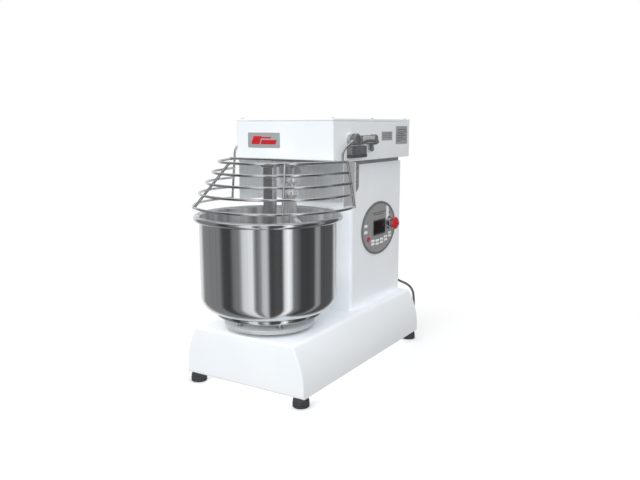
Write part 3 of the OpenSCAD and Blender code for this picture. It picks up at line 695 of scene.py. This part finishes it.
def make_badge():
    """A plain silver plate with a raised border, two stripes and four rivets."""
    lo, hi = mm_box("badge")
    face = head_lo.y
    b = Build().prism(rect((lo.x, lo.z), (hi.x, hi.z), 3.0), "Y", lo.y + 0.3, face, 0.5, 0.0)
    border = [(x, lo.y + 0.2, z) for x, z in (rect((lo.x + 1.6, lo.z + 1.6), (hi.x - 1.6, hi.z - 1.6), 2.4))]
    b.tube(border + border[:1], 0.6, 8, False)
    for x in (lo.x + 6, hi.x - 6):
        for z in (lo.z + 6, hi.z - 6):
            screw_head(b, (x, lo.y + 0.4, z), "Y", 1.5, 0.9, sign=-1, sides=16)
    b.place("badge_plate", BADGE_STEEL, 40, "frame", "stainless", "badge")
    red = Build()
    for z0, z1, x0, x1 in ((650, 672, lo.x + 12, lo.x + 40), (650, 662, lo.x + 44, hi.x - 14),
            (666, 670, lo.x + 44, hi.x - 30)):
        slope = (z1 - z0) * 0.35
        red.prism([(x0, z0), (x1, z0), (x1 + slope, z1), (x0 + slope, z1)], "Y", lo.y, lo.y + 0.5, 0.15, 0.0)
    red.place("badge_stripes", RED, 35, "frame", "red_plastic")


def make_side_labels():
    """Two blank plates: the small one plain, the large one ruled into fields."""
    x = head_hi.x
    b = Build()
    for low, high in (((163, 657), (234, 683)), ((259, 644), (342, 699))):
        b.prism(rect(low, high, 2.0), "X", x, x + 0.4, 0.0, 0.15)
    for y in (263.5, 337.5):
        for z in (648.5, 694.5):
            screw_head(b, (x + 0.3, y, z), "X", 1.3, 0.7, sides=14)
    b.place("side_plates", LABEL, 40, "frame", "printed_plate", "side_labels")
    ink = Build()
    rules = [(688, 272, 329, 0.9), (681, 266, 335, 0.9), (675.5, 266, 320, 0.9), (670, 266, 335, 0.9),
             (664.5, 266, 308, 0.9), (659, 266, 335, 0.9), (653.5, 266, 296, 0.9)]
    rules += [(z, 169, 228, 0.5) for z in (677.5, 671.5, 665.5)]
    for z, y0, y1, half in rules:
        ink.prism([(y0, z - half), (y1, z - half), (y1, z + half), (y0, z + half)], "X", x + 0.35, x + 0.48)
    ink.place("plate_rules", DARK, 35, "frame", "printed_plate")


# ---------------------------------------------------------------- bowl
def make_bowl():
    r, t, corner = bowl_hi.x - 15.0, 1.5, 40.0
    floor = bowl_lo.z
    bead_r = 7.75
    bead = (bowl_hi.x - bead_r, bowl_hi.z - bead_r)
    profile = [(0, floor), (60, floor), (r - corner, floor)]
    profile += arc((r - corner, floor + corner), corner, -90, 0, 16)[1:]
    join = math.degrees(math.acos((r - bead[0]) / bead_r))
    profile += arc(bead, bead_r, -join, join - 8, 26)
    inner = r - t
    profile += [(inner, bead[1] + 3.0), (inner, bead[1] - 14), (inner, floor + corner)]
    profile += arc((r - corner, floor + corner), corner - t, 0, -90, 16)[1:]
    profile += [(60, floor + t), (0, floor + t)]
    b = Build().lathe(profile, (0, BOWL_Y, 0), segments=192)
    shell = b.place("bowl_shell", BOWL_STEEL, 50, "bowl_group", "stainless", "bowl")
    # the faces on the inside take the second material, whose colour carries painted reflection bands
    shell.data.materials.append(BOWL_INSIDE_PAINTED_REFLECTIONS)
    knee = Vector((r - corner, floor + corner))
    for face in shell.data.polygons:
        reach = math.hypot(face.center.x / MM, face.center.y / MM - BOWL_Y)
        height = face.center.z / MM
        in_corner = (Vector((reach, height)) - knee).length < corner - t / 2
        on_wall = reach < inner + 0.3 and height > floor + t / 2
        if on_wall and (height > knee.y or reach < knee.x) or in_corner and reach > knee.x:
            face.material_index = 1
    lo, hi = mm_box("bowl_ring")
    ring = Build().lathe([(0, lo.z), (hi.x - 4, lo.z), (hi.x - 1, lo.z + 0.8), (hi.x, lo.z + 2.6),
            (hi.x, hi.z - 3), (hi.x - 1.5, hi.z - 0.6), (hi.x - 6, hi.z + 0.5), (0, hi.z + 0.5)],
            (0, BOWL_Y, 0), segments=144)
    ring.place("bowl_foot_ring", BOWL_STEEL, 50, "bowl_group", "stainless", "bowl_ring")


def make_turntable():
    lo, hi = mm_box("turntable")
    b = Build().lathe([(0, lo.z), (hi.x - 3, lo.z), (hi.x - 0.8, lo.z + 0.8), (hi.x, lo.z + 3),
            (hi.x, hi.z - 3), (hi.x - 0.8, hi.z - 0.8), (hi.x - 3, hi.z), (0, hi.z)], (0, BOWL_Y, 0),
            segments=128)
    b.place("turntable_disc", TABLE_PAINT, 50, "bowl_group", "dark_parts", "turntable")
    lo, hi = mm_box("bowl_spacers")
    pegs = Build()
    for k in range(6):
        a = math.radians(20 + 60 * k)
        place = (108 * math.cos(a), BOWL_Y + 108 * math.sin(a), 0)
        pegs.lathe([(0, lo.z), (9, lo.z), (9, lo.z + 3), (7, lo.z + 4), (6.2, lo.z + 5), (6.2, hi.z - 5),
                (7, hi.z - 4), (7, hi.z), (0, hi.z)], place, segments=28)
    pegs.place("bowl_pegs", WIRE, 40, "bowl_group", "zinc_steel", "bowl_spacers")
    deck = 161
    flange = Build().lathe([(0, deck), (80, deck), (80, deck + 3.5), (78.5, deck + 5), (58, deck + 5.3),
            (54, deck + 7.2), (24, deck + 7.4), (24, deck)], (0, BOWL_Y, 0), segments=96)
    for k in range(6):
        a = math.radians(60 * k)
        screw_head(flange, (70 * math.cos(a), BOWL_Y + 70 * math.sin(a), deck + 4.8), "Z", 4.2, 2.6)
    flange.place("bearing_flange", ZINC, 40, "frame", "zinc_steel")


# ---------------------------------------------------------------- spiral hook
def make_hook():
    b = Build()
    b.lathe([(0, 430), (14, 430), (17, 431.5), (18, 434), (18, 503), (18.4, 505), (25, 505), (26, 506),
            (26, 521), (25, 522), (19.4, 522.4), (19, 523.5), (19, 542.5), (19.6, 543.8), (29, 544),
            (30, 545), (30, 558), (29, 559), (0, 559)], (0, HOOK_Y, 0), segments=96)
    for k in range(3):
        a = math.radians(40 + 120 * k)
        b.lathe([(0, 0), (5, 0), (5.6, 0.6), (5.6, 4.4), (5, 5), (2.8, 5), (2.6, 2.4), (0, 2.2)],
                (23 * math.cos(a), HOOK_Y + 23 * math.sin(a), 558.6), segments=6)
    steps, spiral_r, widens_until = 120, 58, 0.26
    line = []
    for k in range(steps + 1):
        s = k / steps
        a = math.radians(450 * s)
        reach = spiral_r * math.sin(math.pi / 2 * min(1.0, s / widens_until))
        line.append((reach * math.cos(a), HOOK_Y + reach * math.sin(a), 446 - 208 * s ** 0.9))
    b.tube(line, lambda s: 10.0 + 3.0 * max(0.0, 1 - 9 * s) - 2.5 * max(0.0, 8 * s - 7), 24)
    b.place("spiral_hook", HOOK_STEEL, 45, "hook_group", "stainless", "hook")


def make_breaker():
    """The fixed bar in the bowl's middle, and the arm that holds it."""
    lo, hi = mm_box("breaker_bar")
    b = Build().prism(rect((lo.x, lo.y), (hi.x, hi.y), 7.0, 8), "Z", lo.z, hi.z - 1, 3.0, 0.0)
    b.place("breaker_blade", SHEET, 40, "frame", "stainless", "breaker_bar")
    arm_lo, arm_hi = mm_box("breaker_arm")
    outline = [(-20, arm_lo.y), (20, arm_lo.y)] + arc((0, HOOK_Y), 54, -68.3, 248.3, 64)
    plate = Build().prism(outline, "Z", arm_lo.z, arm_hi.z - 0.3, 1.2, 0.0)
    plate.lathe([(30.5, arm_lo.z - 3), (34, arm_lo.z - 3), (36, arm_lo.z - 1.4), (37, arm_lo.z + 1),
            (30.5, arm_lo.z + 1), (30.5, arm_lo.z - 3)], (0, HOOK_Y, 0), segments=72)
    plate.place("breaker_mount", SHEET, 40, "frame", "stainless", "breaker_arm")


# ---------------------------------------------------------------- shield behind the bowl's mouth
def make_shield():
    lo, hi = mm_box("rear_shield")
    x, front, rear, corner, t = hi.x, lo.y, hi.y, 70.0, 1.5
    outer = rounded_path([(-x, front, 0), (x, front, 0), (x, rear, corner), (-x, rear, corner)], 24)
    inner = rounded_path([(-x + t, front, 0), (x - t, front, 0), (x - t, rear - t, corner - t),
            (-x + t, rear - t, corner - t)], 24)
    sheet = outer[1:] + [outer[0]]
    inside = inner[1:] + [inner[0]]
    b = Build().prism(sheet + inside[::-1], "Z", lo.z, hi.z)
    # the rolled lower edge and the folded front edges
    middle = [(p.x, p.y, lo.z + 1.6) for p in [a.lerp(c, 0.5) for a, c in zip(sheet, inside)]]
    b.tube(middle, 1.6, 12)
    for s in (-1, 1):
        b.tube([(s * (x - t / 2), front + 1.2, lo.z + 1.6), (s * (x - t / 2), front + 1.2, hi.z - 1)], 1.5,
                12)
    b.place("shield_sheet", SHIELD_STEEL, 30, "frame", "stainless", "rear_shield")
    low, high = mm_box("shield_brackets")
    plates = Build()
    bolts = Build()
    for s in (-1, 1):
        x0, x1 = sorted((s * column_hi.x, s * high.x))
        outline = arc((60, 531.5), 18.5, 180, 360, 18) + [(78.5, 592), (74.5, 598), (48, 598), (42, 592),
                (24, 592), (20, 588), (20, 546), (24, 540), (41.5, 540)]
        plates.prism(outline, "X", x0, x1, 0.8, 0.8)
        for z in (531, 584):
            screw_head(bolts, (s * high.x, 60, z), "X", 7.6, 4.4, sign=s, sides=40)
    # the bracket plates' dark grey is painted shade for the shade at the column's side edges
    plates.place("bracket_plates", DARK_GREY_AND_SHADE, 40, "frame", "dark_parts", "shield_brackets")
    bolts.place("bracket_bolts", WIRE, 40, "frame", "stainless", "shield_bolts")


# ---------------------------------------------------------------- wire guard
RING_Z = [607.0, 579.0, 551.0, 523.0, 490.0]
RING_R = [155.0, 175.0, 194.0, 208.0, 218.0]
RING_Y = [-145.0, -140.0, -137.0, -145.0, -155.0]
RING_END = [188.0, 192.0, 197.0, 201.0, 206.0]
END_Y = [-91.0, -89.0, -87.0, -85.0, -83.0]
WIRE_R = 3.5
PIVOT = (0, -31, 664)
ARM_X = 179


def ring_line(i):
    """A straight tail, the arc round the bowl's front, and the other tail."""
    end = (RING_END[i], END_Y[i] - RING_Y[i])
    lean = math.atan2(end[1], end[0]) - math.acos(RING_R[i] / math.hypot(*end))
    points = [(end[0], END_Y[i])]
    for k in range(97):
        a = lean - (math.pi + 2 * lean) * k / 96
        points.append((RING_R[i] * math.cos(a), RING_Y[i] + RING_R[i] * math.sin(a)))
    points.append((-end[0], END_Y[i]))
    return [(x, y, RING_Z[i]) for x, y in points]


def make_guard():
    rings = Build()
    for i in range(5):
        rings.tube(ring_line(i), WIRE_R, 18)
    rings.place("guard_hoops", WIRE, 60, "guard", "stainless", "guard_rings")
    ribs = Build()
    # two ribs in front, which aren't mirror images, and a rod at each side
    uprights = [((-42, -294, 607), (-138, -324, 490)), ((105, -259, 607), (141, -321, 490))]
    uprights += [((s * RING_END[0], END_Y[0], 609), (s * RING_END[4], END_Y[4], 488)) for s in (-1, 1)]
    for top, bottom in uprights:
        top, bottom = Vector(top), Vector(bottom)
        ribs.tube([top, bottom], WIRE_R, 16)
        for height in RING_Z:
            ribs.bead(top.lerp(bottom, (top.z - height) / (top.z - bottom.z)), bottom - top, WIRE_R, 0.9, 8.0)
    ribs.tube([(-176, -125, 608.5), (176, -125, 608.5)], WIRE_R, 16)
    for s in (-1, 1):
        ribs.bead((s * 172, -125, 608), (1, 0, 0), WIRE_R)
    ribs.place("guard_rods", WIRE, 60, "guard", "stainless", "guard_ribs")
    arms = Build()
    hubs = Build()
    for s in (-1, 1):
        way = [(-102, 607), (-101.5, 617), (-100, 627), (-95, 636), (-86, 642.5), (-70, 649.5), (-45, 659)]
        arms.tube(catmull([(s * ARM_X, y, z) for y, z in way], 6), WIRE_R, 16)
        arms.bead((s * ARM_X, -102, 608.5), (0, 0, 1), WIRE_R, 1.6, 11)
        arms.bead((s * ARM_X, -49, 657.6), (0, 1, 0.3), WIRE_R, 3.0, 14)
        out = [(0, 171), (14.6, 171), (16, 172.4), (16, 176.5), (14.9, 177.4), (14.9, 180.6), (16, 181.5),
                (16, 185.6), (14.6, 187), (9.5, 187), (9.2, 185.8), (6.4, 185.8), (6.2, 187), (3.0, 187),
                (2.8, 185.2), (0, 185.2)]
        hubs.lathe([(r, s * w) for r, w in out], PIVOT, "X", 56)
        hubs.lathe([(0, s * 150), (7.9, s * 150), (7.9, s * 171.5), (0, s * 171.5)], PIVOT, "X", 32)
    arms.place("guard_arm_wires", WIRE, 60, "guard", "stainless", "guard_arms")
    hubs.place("guard_hub_caps", SWITCH_METAL, 40, "guard", "dark_parts", "guard_hubs")


# ---------------------------------------------------------------- limit switch on the head's right side
def make_switch():
    x = head_hi.x
    body = Build()
    body.prism(rect((-44, 622), (-0.3, 646), 3.0), "X", x, x + 16.5, 0.0, 2.0)
    body.prism(rect((1.3, 622), (45, 646), 3.0), "X", x, x + 14.5, 0.0, 2.0)
    body.prism(rect((-42, 624), (43, 644), 2.0), "X", x, x + 12.0, 0.0, 1.0)
    for y in (-36, -8, 9, 37):
        screw_head(body, (x + (16.3 if y < 0 else 14.3), y, 636), "X", 2.2, 1.2, sides=18)
    body.place("switch_case", SWITCH_METAL, 40, "frame", "dark_parts", "switch_body")
    under = Build().prism(rect((-44, 614), (45, 623), 2.5), "X", x, x + 15.5, 0.0, 1.6)
    under.place("switch_underside", DARK, 35, "frame", "dark_parts")
    lo, hi = mm_box("switch_cover")
    cover = Build().prism(rect((lo.y, lo.z), (hi.y - 16, hi.z), 8.0, 10), "X", x, hi.x, 0.0, 3.0, 6)
    cover.place("switch_lid", TABLE_PAINT, 40, "frame", "zinc_steel", "switch_cover")
    nose = Build().prism(rect((hi.y - 25, lo.z - 5), (hi.y, hi.z + 4), 12.0, 12), "X", x, hi.x + 1, 0.0,
            4.0, 6)
    nose.prism(rect((lo.y - 2, lo.z - 2), (hi.y - 8, hi.z + 2), 9.0, 10), "X", x, hi.x - 2.5, 0.0, 1.5)
    nose.place("switch_nose", SWITCH_METAL, 40, "frame", "dark_parts")
    gland = Build()
    gland.lathe([(0, 628.5), (4.4, 628.5), (5, 630), (5, 640), (0, 640)], (x + 8.5, 84, 0), segments=28)
    gland.lathe([(0, 632), (6.8, 632), (7.4, 632.6), (7.4, 639.4), (6.8, 640), (0, 640)], (x + 8.5, 84, 0),
            segments=6)
    gland.lathe([(0, 640), (5.6, 640), (5.6, 652), (0, 652)], (x + 8.5, 84, 0), segments=28)
    gland.place("switch_cable_gland", SWITCH_METAL, 30, "frame", "dark_parts", "switch_gland")
    low, high = mm_box("switch_lever")
    lever = Build()
    spine = catmull([(0, 100, 655), (0, 80, 657.5), (0, 60, 659.5), (0, 40, 659), (0, 20, 656),
            (0, -9, 652.5)], 6)
    upper = [(p.y, p.z + 3.6) for p in spine]
    lower = [(p.y, p.z - 4.2) for p in reversed(spine)]
    lever.prism(upper + lower, "X", low.x, high.x - 0.2, 0.8, 0.8)
    lever.lathe([(0, low.x), (5.2, low.x), (5.2, high.x - 1), (4.4, high.x), (0, high.x)], (0, 100, 655),
            "X", 32)
    lever.lathe([(0, low.x), (4.4, low.x), (4.4, high.x - 1), (3.6, high.x), (0, high.x)], (0, -9, 652),
            "X", 32)
    lever.place("switch_lever_bar", SWITCH_METAL, 40, "lever", "dark_parts", "switch_lever")
    bush = Build()
    for s in (-1, 1):
        ring = [(8.05, 159.5), (15, 159.5), (15, 168.6), (13.8, 170), (8.05, 170), (8.05, 159.5)]
        bush.lathe([(r, s * w) for r, w in ring], PIVOT, "X", 48)
    bush.place("pivot_collars", ZINC, 40, "frame", "zinc_steel", "pivot_bushes")


# ---------------------------------------------------------------- control panel
PANEL = (217.0, 389.0)
PANEL_SIZE = (226.0, 164.0)
DISPLAY = ((181.5, 371.5), (255.5, 410.5))


def grown(low, high, by):
    """A rectangle's corners, moved out by the same amount on each side."""
    return (low[0] - by, low[1] - by), (high[0] + by, high[1] + by)


def make_panel():
    x = column_hi.x
    on_face = x + 2.4
    outer = oval(PANEL, PANEL_SIZE, 120)
    inner = oval(PANEL, PANEL_SIZE, 120, -7.0)
    b = Build().band(outer, inner, "X", x, x + 4.0, 1.8, 4)
    b.place("panel_rim", PANEL_RIM, 40, "frame", "dark_parts", "panel_bezel")
    face = Build().prism(oval(PANEL, PANEL_SIZE, 120, -6.8), "X", x, x + 2.5)
    face.place("panel_plate", OVERLAY, 35, "frame", "printed_plate", "panel_face")
    frame_line = Build().band(rect(*grown(*DISPLAY, 4.5), 5.5, 8), rect(*DISPLAY, 3.5, 8), "X", on_face,
            x + 3.2, 0.3, 2)
    for k in range(4):
        frame_line.prism(disc((190 + 19 * k, 421.5), 1.7, 20), "X", on_face, x + 2.9, 0.0, 0.2)
    # plain rules where the printed heading is
    for y0, y1, z in ((170, 206, 437), (211, 262, 437), (182, 250, 431.5)):
        frame_line.prism([(y0, z - 1.1), (y1, z - 1.1), (y1, z + 1.1), (y0, z + 1.1)], "X", x + 2.45, x + 2.6)
    frame_line.place("panel_printing", DARK, 35, "frame", "printed_plate")
    glass = Build().prism(rect(*grown(*DISPLAY, 0.2), 3.6, 8), "X", on_face, x + 3.3, 0.0, 0.25)
    glass.place("display_glass", GLASS, 35, "frame", "display", "display_window")
    keys = Build()
    for y, z, w, h in key_places():
        outline = rect((y - w / 2, z - h / 2), (y + w / 2, z + h / 2), h / 2 - 0.1, 8)
        keys.prism(outline, "X", on_face, x + 3.6, 0.0, 0.7, 4)
    strip = [(266, 410), (283, 420), (283, 446), (271, 452), (266, 454)]
    keys.prism(strip, "X", on_face, x + 2.62)
    keys.place("white_keys", KEY_WHITE, 40, "frame", "key_plastic", "panel_keys")
    red = Build().prism(rect((137, 354), (155, 368), 5.5, 8), "X", on_face, x + 3.7, 0.0, 0.8, 4)
    red.prism(disc((293, 428), 3.2), "X", on_face, x + 3.4, 0.0, 0.6, 3)
    red.place("red_key", RED, 40, "frame", "red_plastic")


def key_places():
    """Each white key's centre and size."""
    places = [(129, 403, 20, 9), (129, 384, 20, 9), (291, 364, 20, 7), (291, 354, 20, 7)]
    for k in range(4):
        lift = 1.5 * (k - 1.2) ** 2
        places += [(176 + 29 * k, 350 + lift, 22, 7), (176 + 29 * k, 340 + lift, 22, 7)]
    return places


def make_stop():
    x = column_hi.x
    y, z = 282.0, 397.0
    collar = Build().lathe([(6.05, x + 2.5), (20, x + 2.5), (20, x + 4), (17, x + 4.4), (17, x + 8),
            (16.2, x + 8.6), (16.2, x + 9.4), (17, x + 10), (17, x + 15.4), (15.8, x + 16.5),
            (6.05, x + 16.5), (6.05, x + 2.5)], (0, y, z), "X", 64)
    collar.place("stop_ring", WIRE, 40, "frame", "stainless", "stop_collar")
    stem = Build().lathe([(0, x - 4), (5.9, x - 4), (5.9, x + 20), (5.2, x + 21), (3.9, x + 21),
            (3.9, x + 28), (0, x + 28)], (0, y, z), "X", 40)
    stem.place("stop_stem_rod", WIRE, 40, "stop_stem_body", "stainless", "stop_stem")
    low, high = mm_box("stop_head")
    x0, x1 = low.x, high.x
    profile = [(4.1, x0), (13, x0), (14.5, x0 + 0.6), (18.2, x0 + 2.2), (19.3, x0 + 3.4), (19.5, x0 + 4.8),
            (19.2, x0 + 6.6), (17.8, x0 + 8.6), (15, x0 + 10.2), (11, x0 + 10.9), (6, x1), (0, x1)]
    head = Build().lathe(profile, (0, y, z), "X", 72)
    for k in range(3):
        a0 = math.radians(120 * k + 20)
        ridge = [(x0 + 10.6, y + 11 * math.cos(a0 + math.radians(v)),
                z + 11 * math.sin(a0 + math.radians(v))) for v in range(0, 81, 10)]
        head.tube(ridge, 0.5, 8)
    head.place("stop_button_head", RED, 50, "stop_button", "red_plastic", "stop_head")


for make in (make_base, make_feet, make_column, make_head, make_badge, make_side_labels, make_bowl,
             make_turntable, make_hook, make_breaker, make_shield, make_guard, make_switch, make_panel,
             make_stop):
    make()


# ---------------------------------------------------------------- CAD nodes that stay, with better materials
NODE_MATERIALS = {
    WHITE: ["rear_cover"],
    HOOK_STEEL: ["hook_shaft"],
    ZINC: ["foot_studs", "bowl_bearing_housing", "bowl_bearings", "hook_bearing_housing", "hook_bearings",
           "jackshaft_bearings", "hook_chain", "bowl_chain", "bowl_sprocket", "hook_sprocket", "motor_bracket",
           "control_box", "breaker_bolts", "jackshaft", "bowl_shaft"],
    MOTOR: ["gearmotor", "gearbox"],
}
for material, names in NODE_MATERIALS.items():
    for name in names:
        for item in NODES[name].material_slots:
            item.material = material


# ---------------------------------------------------------------- stage
def soft_light(name, travel, width, strength):
    """A broad lamp far away, which steel doesn't mirror: it mirrors the world's screens."""
    data = bpy.data.lights.new(name, "SUN")
    data.angle = math.radians(width)
    data.energy = strength
    light = bpy.data.objects.new(name, data)
    light.rotation_euler = Vector(travel).to_track_quat("-Z", "Y").to_euler()
    light.visible_glossy = False
    bpy.context.collection.objects.link(light)


def make_floor():
    radius = 1.15
    rim = [(p.x, p.y, 0.0) for p in disc((0.0, 0.05), radius, 128)]
    piece = mesh_from("floor", rim, [tuple(range(128))], None)
    s = Shader("floor_paper", (0.92, 0.92, 0.92), 0.9)
    s.colour_from(s.noise(3.0, 2.0), (0.915, 0.915, 0.915), (0.925, 0.925, 0.925))
    piece.data.materials.append(s.material)
    piece.visible_diffuse = False
    piece.visible_glossy = False


# the studio's brightness round the horizon, as (azimuth in degrees from the +X axis, brightness)
STUDIO = [(0, 0.06), (26, 0.07), (31, 0.42), (37, 0.40), (42, 0.10), (78, 0.12), (88, 0.75), (160, 0.9),
        (170, 0.30), (218, 0.26), (226, 0.07), (240, 0.06), (244, 0.20), (258, 0.30), (264, 1.00),
        (279, 1.05), (284, 0.22), (291, 0.22), (295, 0.75), (303, 0.80), (307, 0.05), (318, 0.10),
        (328, 0.05), (333, 1.30), (342, 1.25), (346, 0.25), (353, 0.20), (360, 0.06)]


AMBIENT_ABOVE = 1.05
AMBIENT_BELOW = 0.42
CEILING = 0.9
ROOM = 3.6


def make_world():
    """White to the camera, a soft sky for diffuse light, bright and dark screens for steel to mirror."""
    world = bpy.data.worlds.new("studio")
    world.use_nodes = True
    tree = world.node_tree
    tree.nodes.clear()
    link = tree.links.new

    def add(kind, **values):
        node = tree.nodes.new(kind)
        for key, value in values.items():
            setattr(node, key, value)
        return node

    def maths(operation, a, b=None):
        node = add("ShaderNodeMath", operation=operation)
        for socket, value in zip(node.inputs, (a, b)):
            if isinstance(value, (int, float)):
                socket.default_value = value
            elif value is not None:
                link(value, socket)
        return node.outputs[0]

    where = add("ShaderNodeTexCoord")
    split = add("ShaderNodeSeparateXYZ")
    link(where.outputs["Generated"], split.inputs["Vector"])
    azimuth = maths("FRACT", maths("ADD", maths("DIVIDE", maths("ARCTAN2", split.outputs["Y"],
            split.outputs["X"]), 2 * math.pi), 1.0))
    curve = add("ShaderNodeFloatCurve")
    line = curve.mapping.curves[0]
    top = max(value for _, value in STUDIO)
    for angle, value in STUDIO[1:-1]:
        line.points.new(angle / 360, value / top)
    line.points[0].location = (0.0, STUDIO[0][1] / top)
    line.points[len(line.points) - 1].location = (1.0, STUDIO[-1][1] / top)
    for point in line.points:
        point.handle_type = "VECTOR"
    curve.mapping.update()
    link(azimuth, curve.inputs["Value"])
    streaks = add("ShaderNodeTexNoise", noise_dimensions="1D")
    streaks.inputs["Scale"].default_value = 90.0
    streaks.inputs["Detail"].default_value = 3.0
    link(azimuth, streaks.inputs["W"])
    bands = maths("MULTIPLY", maths("MULTIPLY", curve.outputs["Value"], top),
            maths("ADD", maths("MULTIPLY", streaks.outputs["Fac"], 1.1), 0.45))
    # overhead the screens give way to an even ceiling
    height = add("ShaderNodeMapRange", interpolation_type="SMOOTHSTEP")
    height.inputs["From Min"].default_value = 0.55
    height.inputs["From Max"].default_value = 0.85
    link(split.outputs["Z"], height.inputs["Value"])
    seen = maths("ADD", maths("MULTIPLY", bands, maths("SUBTRACT", 1.0, height.outputs["Result"])),
            maths("MULTIPLY", height.outputs["Result"], CEILING))
    rays = add("ShaderNodeLightPath")
    # light that steel throws on to paint comes from an even white room
    lit_by_steel = maths("MINIMUM", rays.outputs["Diffuse Depth"], 1.0)
    seen = maths("ADD", maths("MULTIPLY", seen, maths("SUBTRACT", 1.0, lit_by_steel)),
            maths("MULTIPLY", lit_by_steel, ROOM))
    glossy = maths("MULTIPLY", seen, rays.outputs["Is Glossy Ray"])
    sky = add("ShaderNodeMapRange", interpolation_type="SMOOTHSTEP")
    limits = {"From Min": -0.3, "From Max": 0.3, "To Min": AMBIENT_BELOW, "To Max": AMBIENT_ABOVE}
    for socket, value in limits.items():
        sky.inputs[socket].default_value = value
    link(split.outputs["Z"], sky.inputs["Value"])
    even = maths("MULTIPLY", sky.outputs["Result"], maths("SUBTRACT", 1.0, rays.outputs["Is Glossy Ray"]))
    camera_ray = rays.outputs["Is Camera Ray"]
    strength = maths("ADD", maths("MULTIPLY", maths("ADD", glossy, even),
            maths("SUBTRACT", 1.0, camera_ray)), camera_ray)
    background = add("ShaderNodeBackground")
    background.inputs["Color"].default_value = (1.0, 1.0, 1.0, 1.0)
    link(strength, background.inputs["Strength"])
    output = add("ShaderNodeOutputWorld")
    link(background.outputs["Background"], output.inputs["Surface"])
    bpy.context.scene.world = world


make_floor()
make_world()
soft_light("key", (0.25, 0.85, -0.40), 50.0, 0.95)
soft_light("fill", (-0.62, 0.72, -0.30), 60.0, 0.48)
bpy.context.scene.view_settings.view_transform = "Standard"
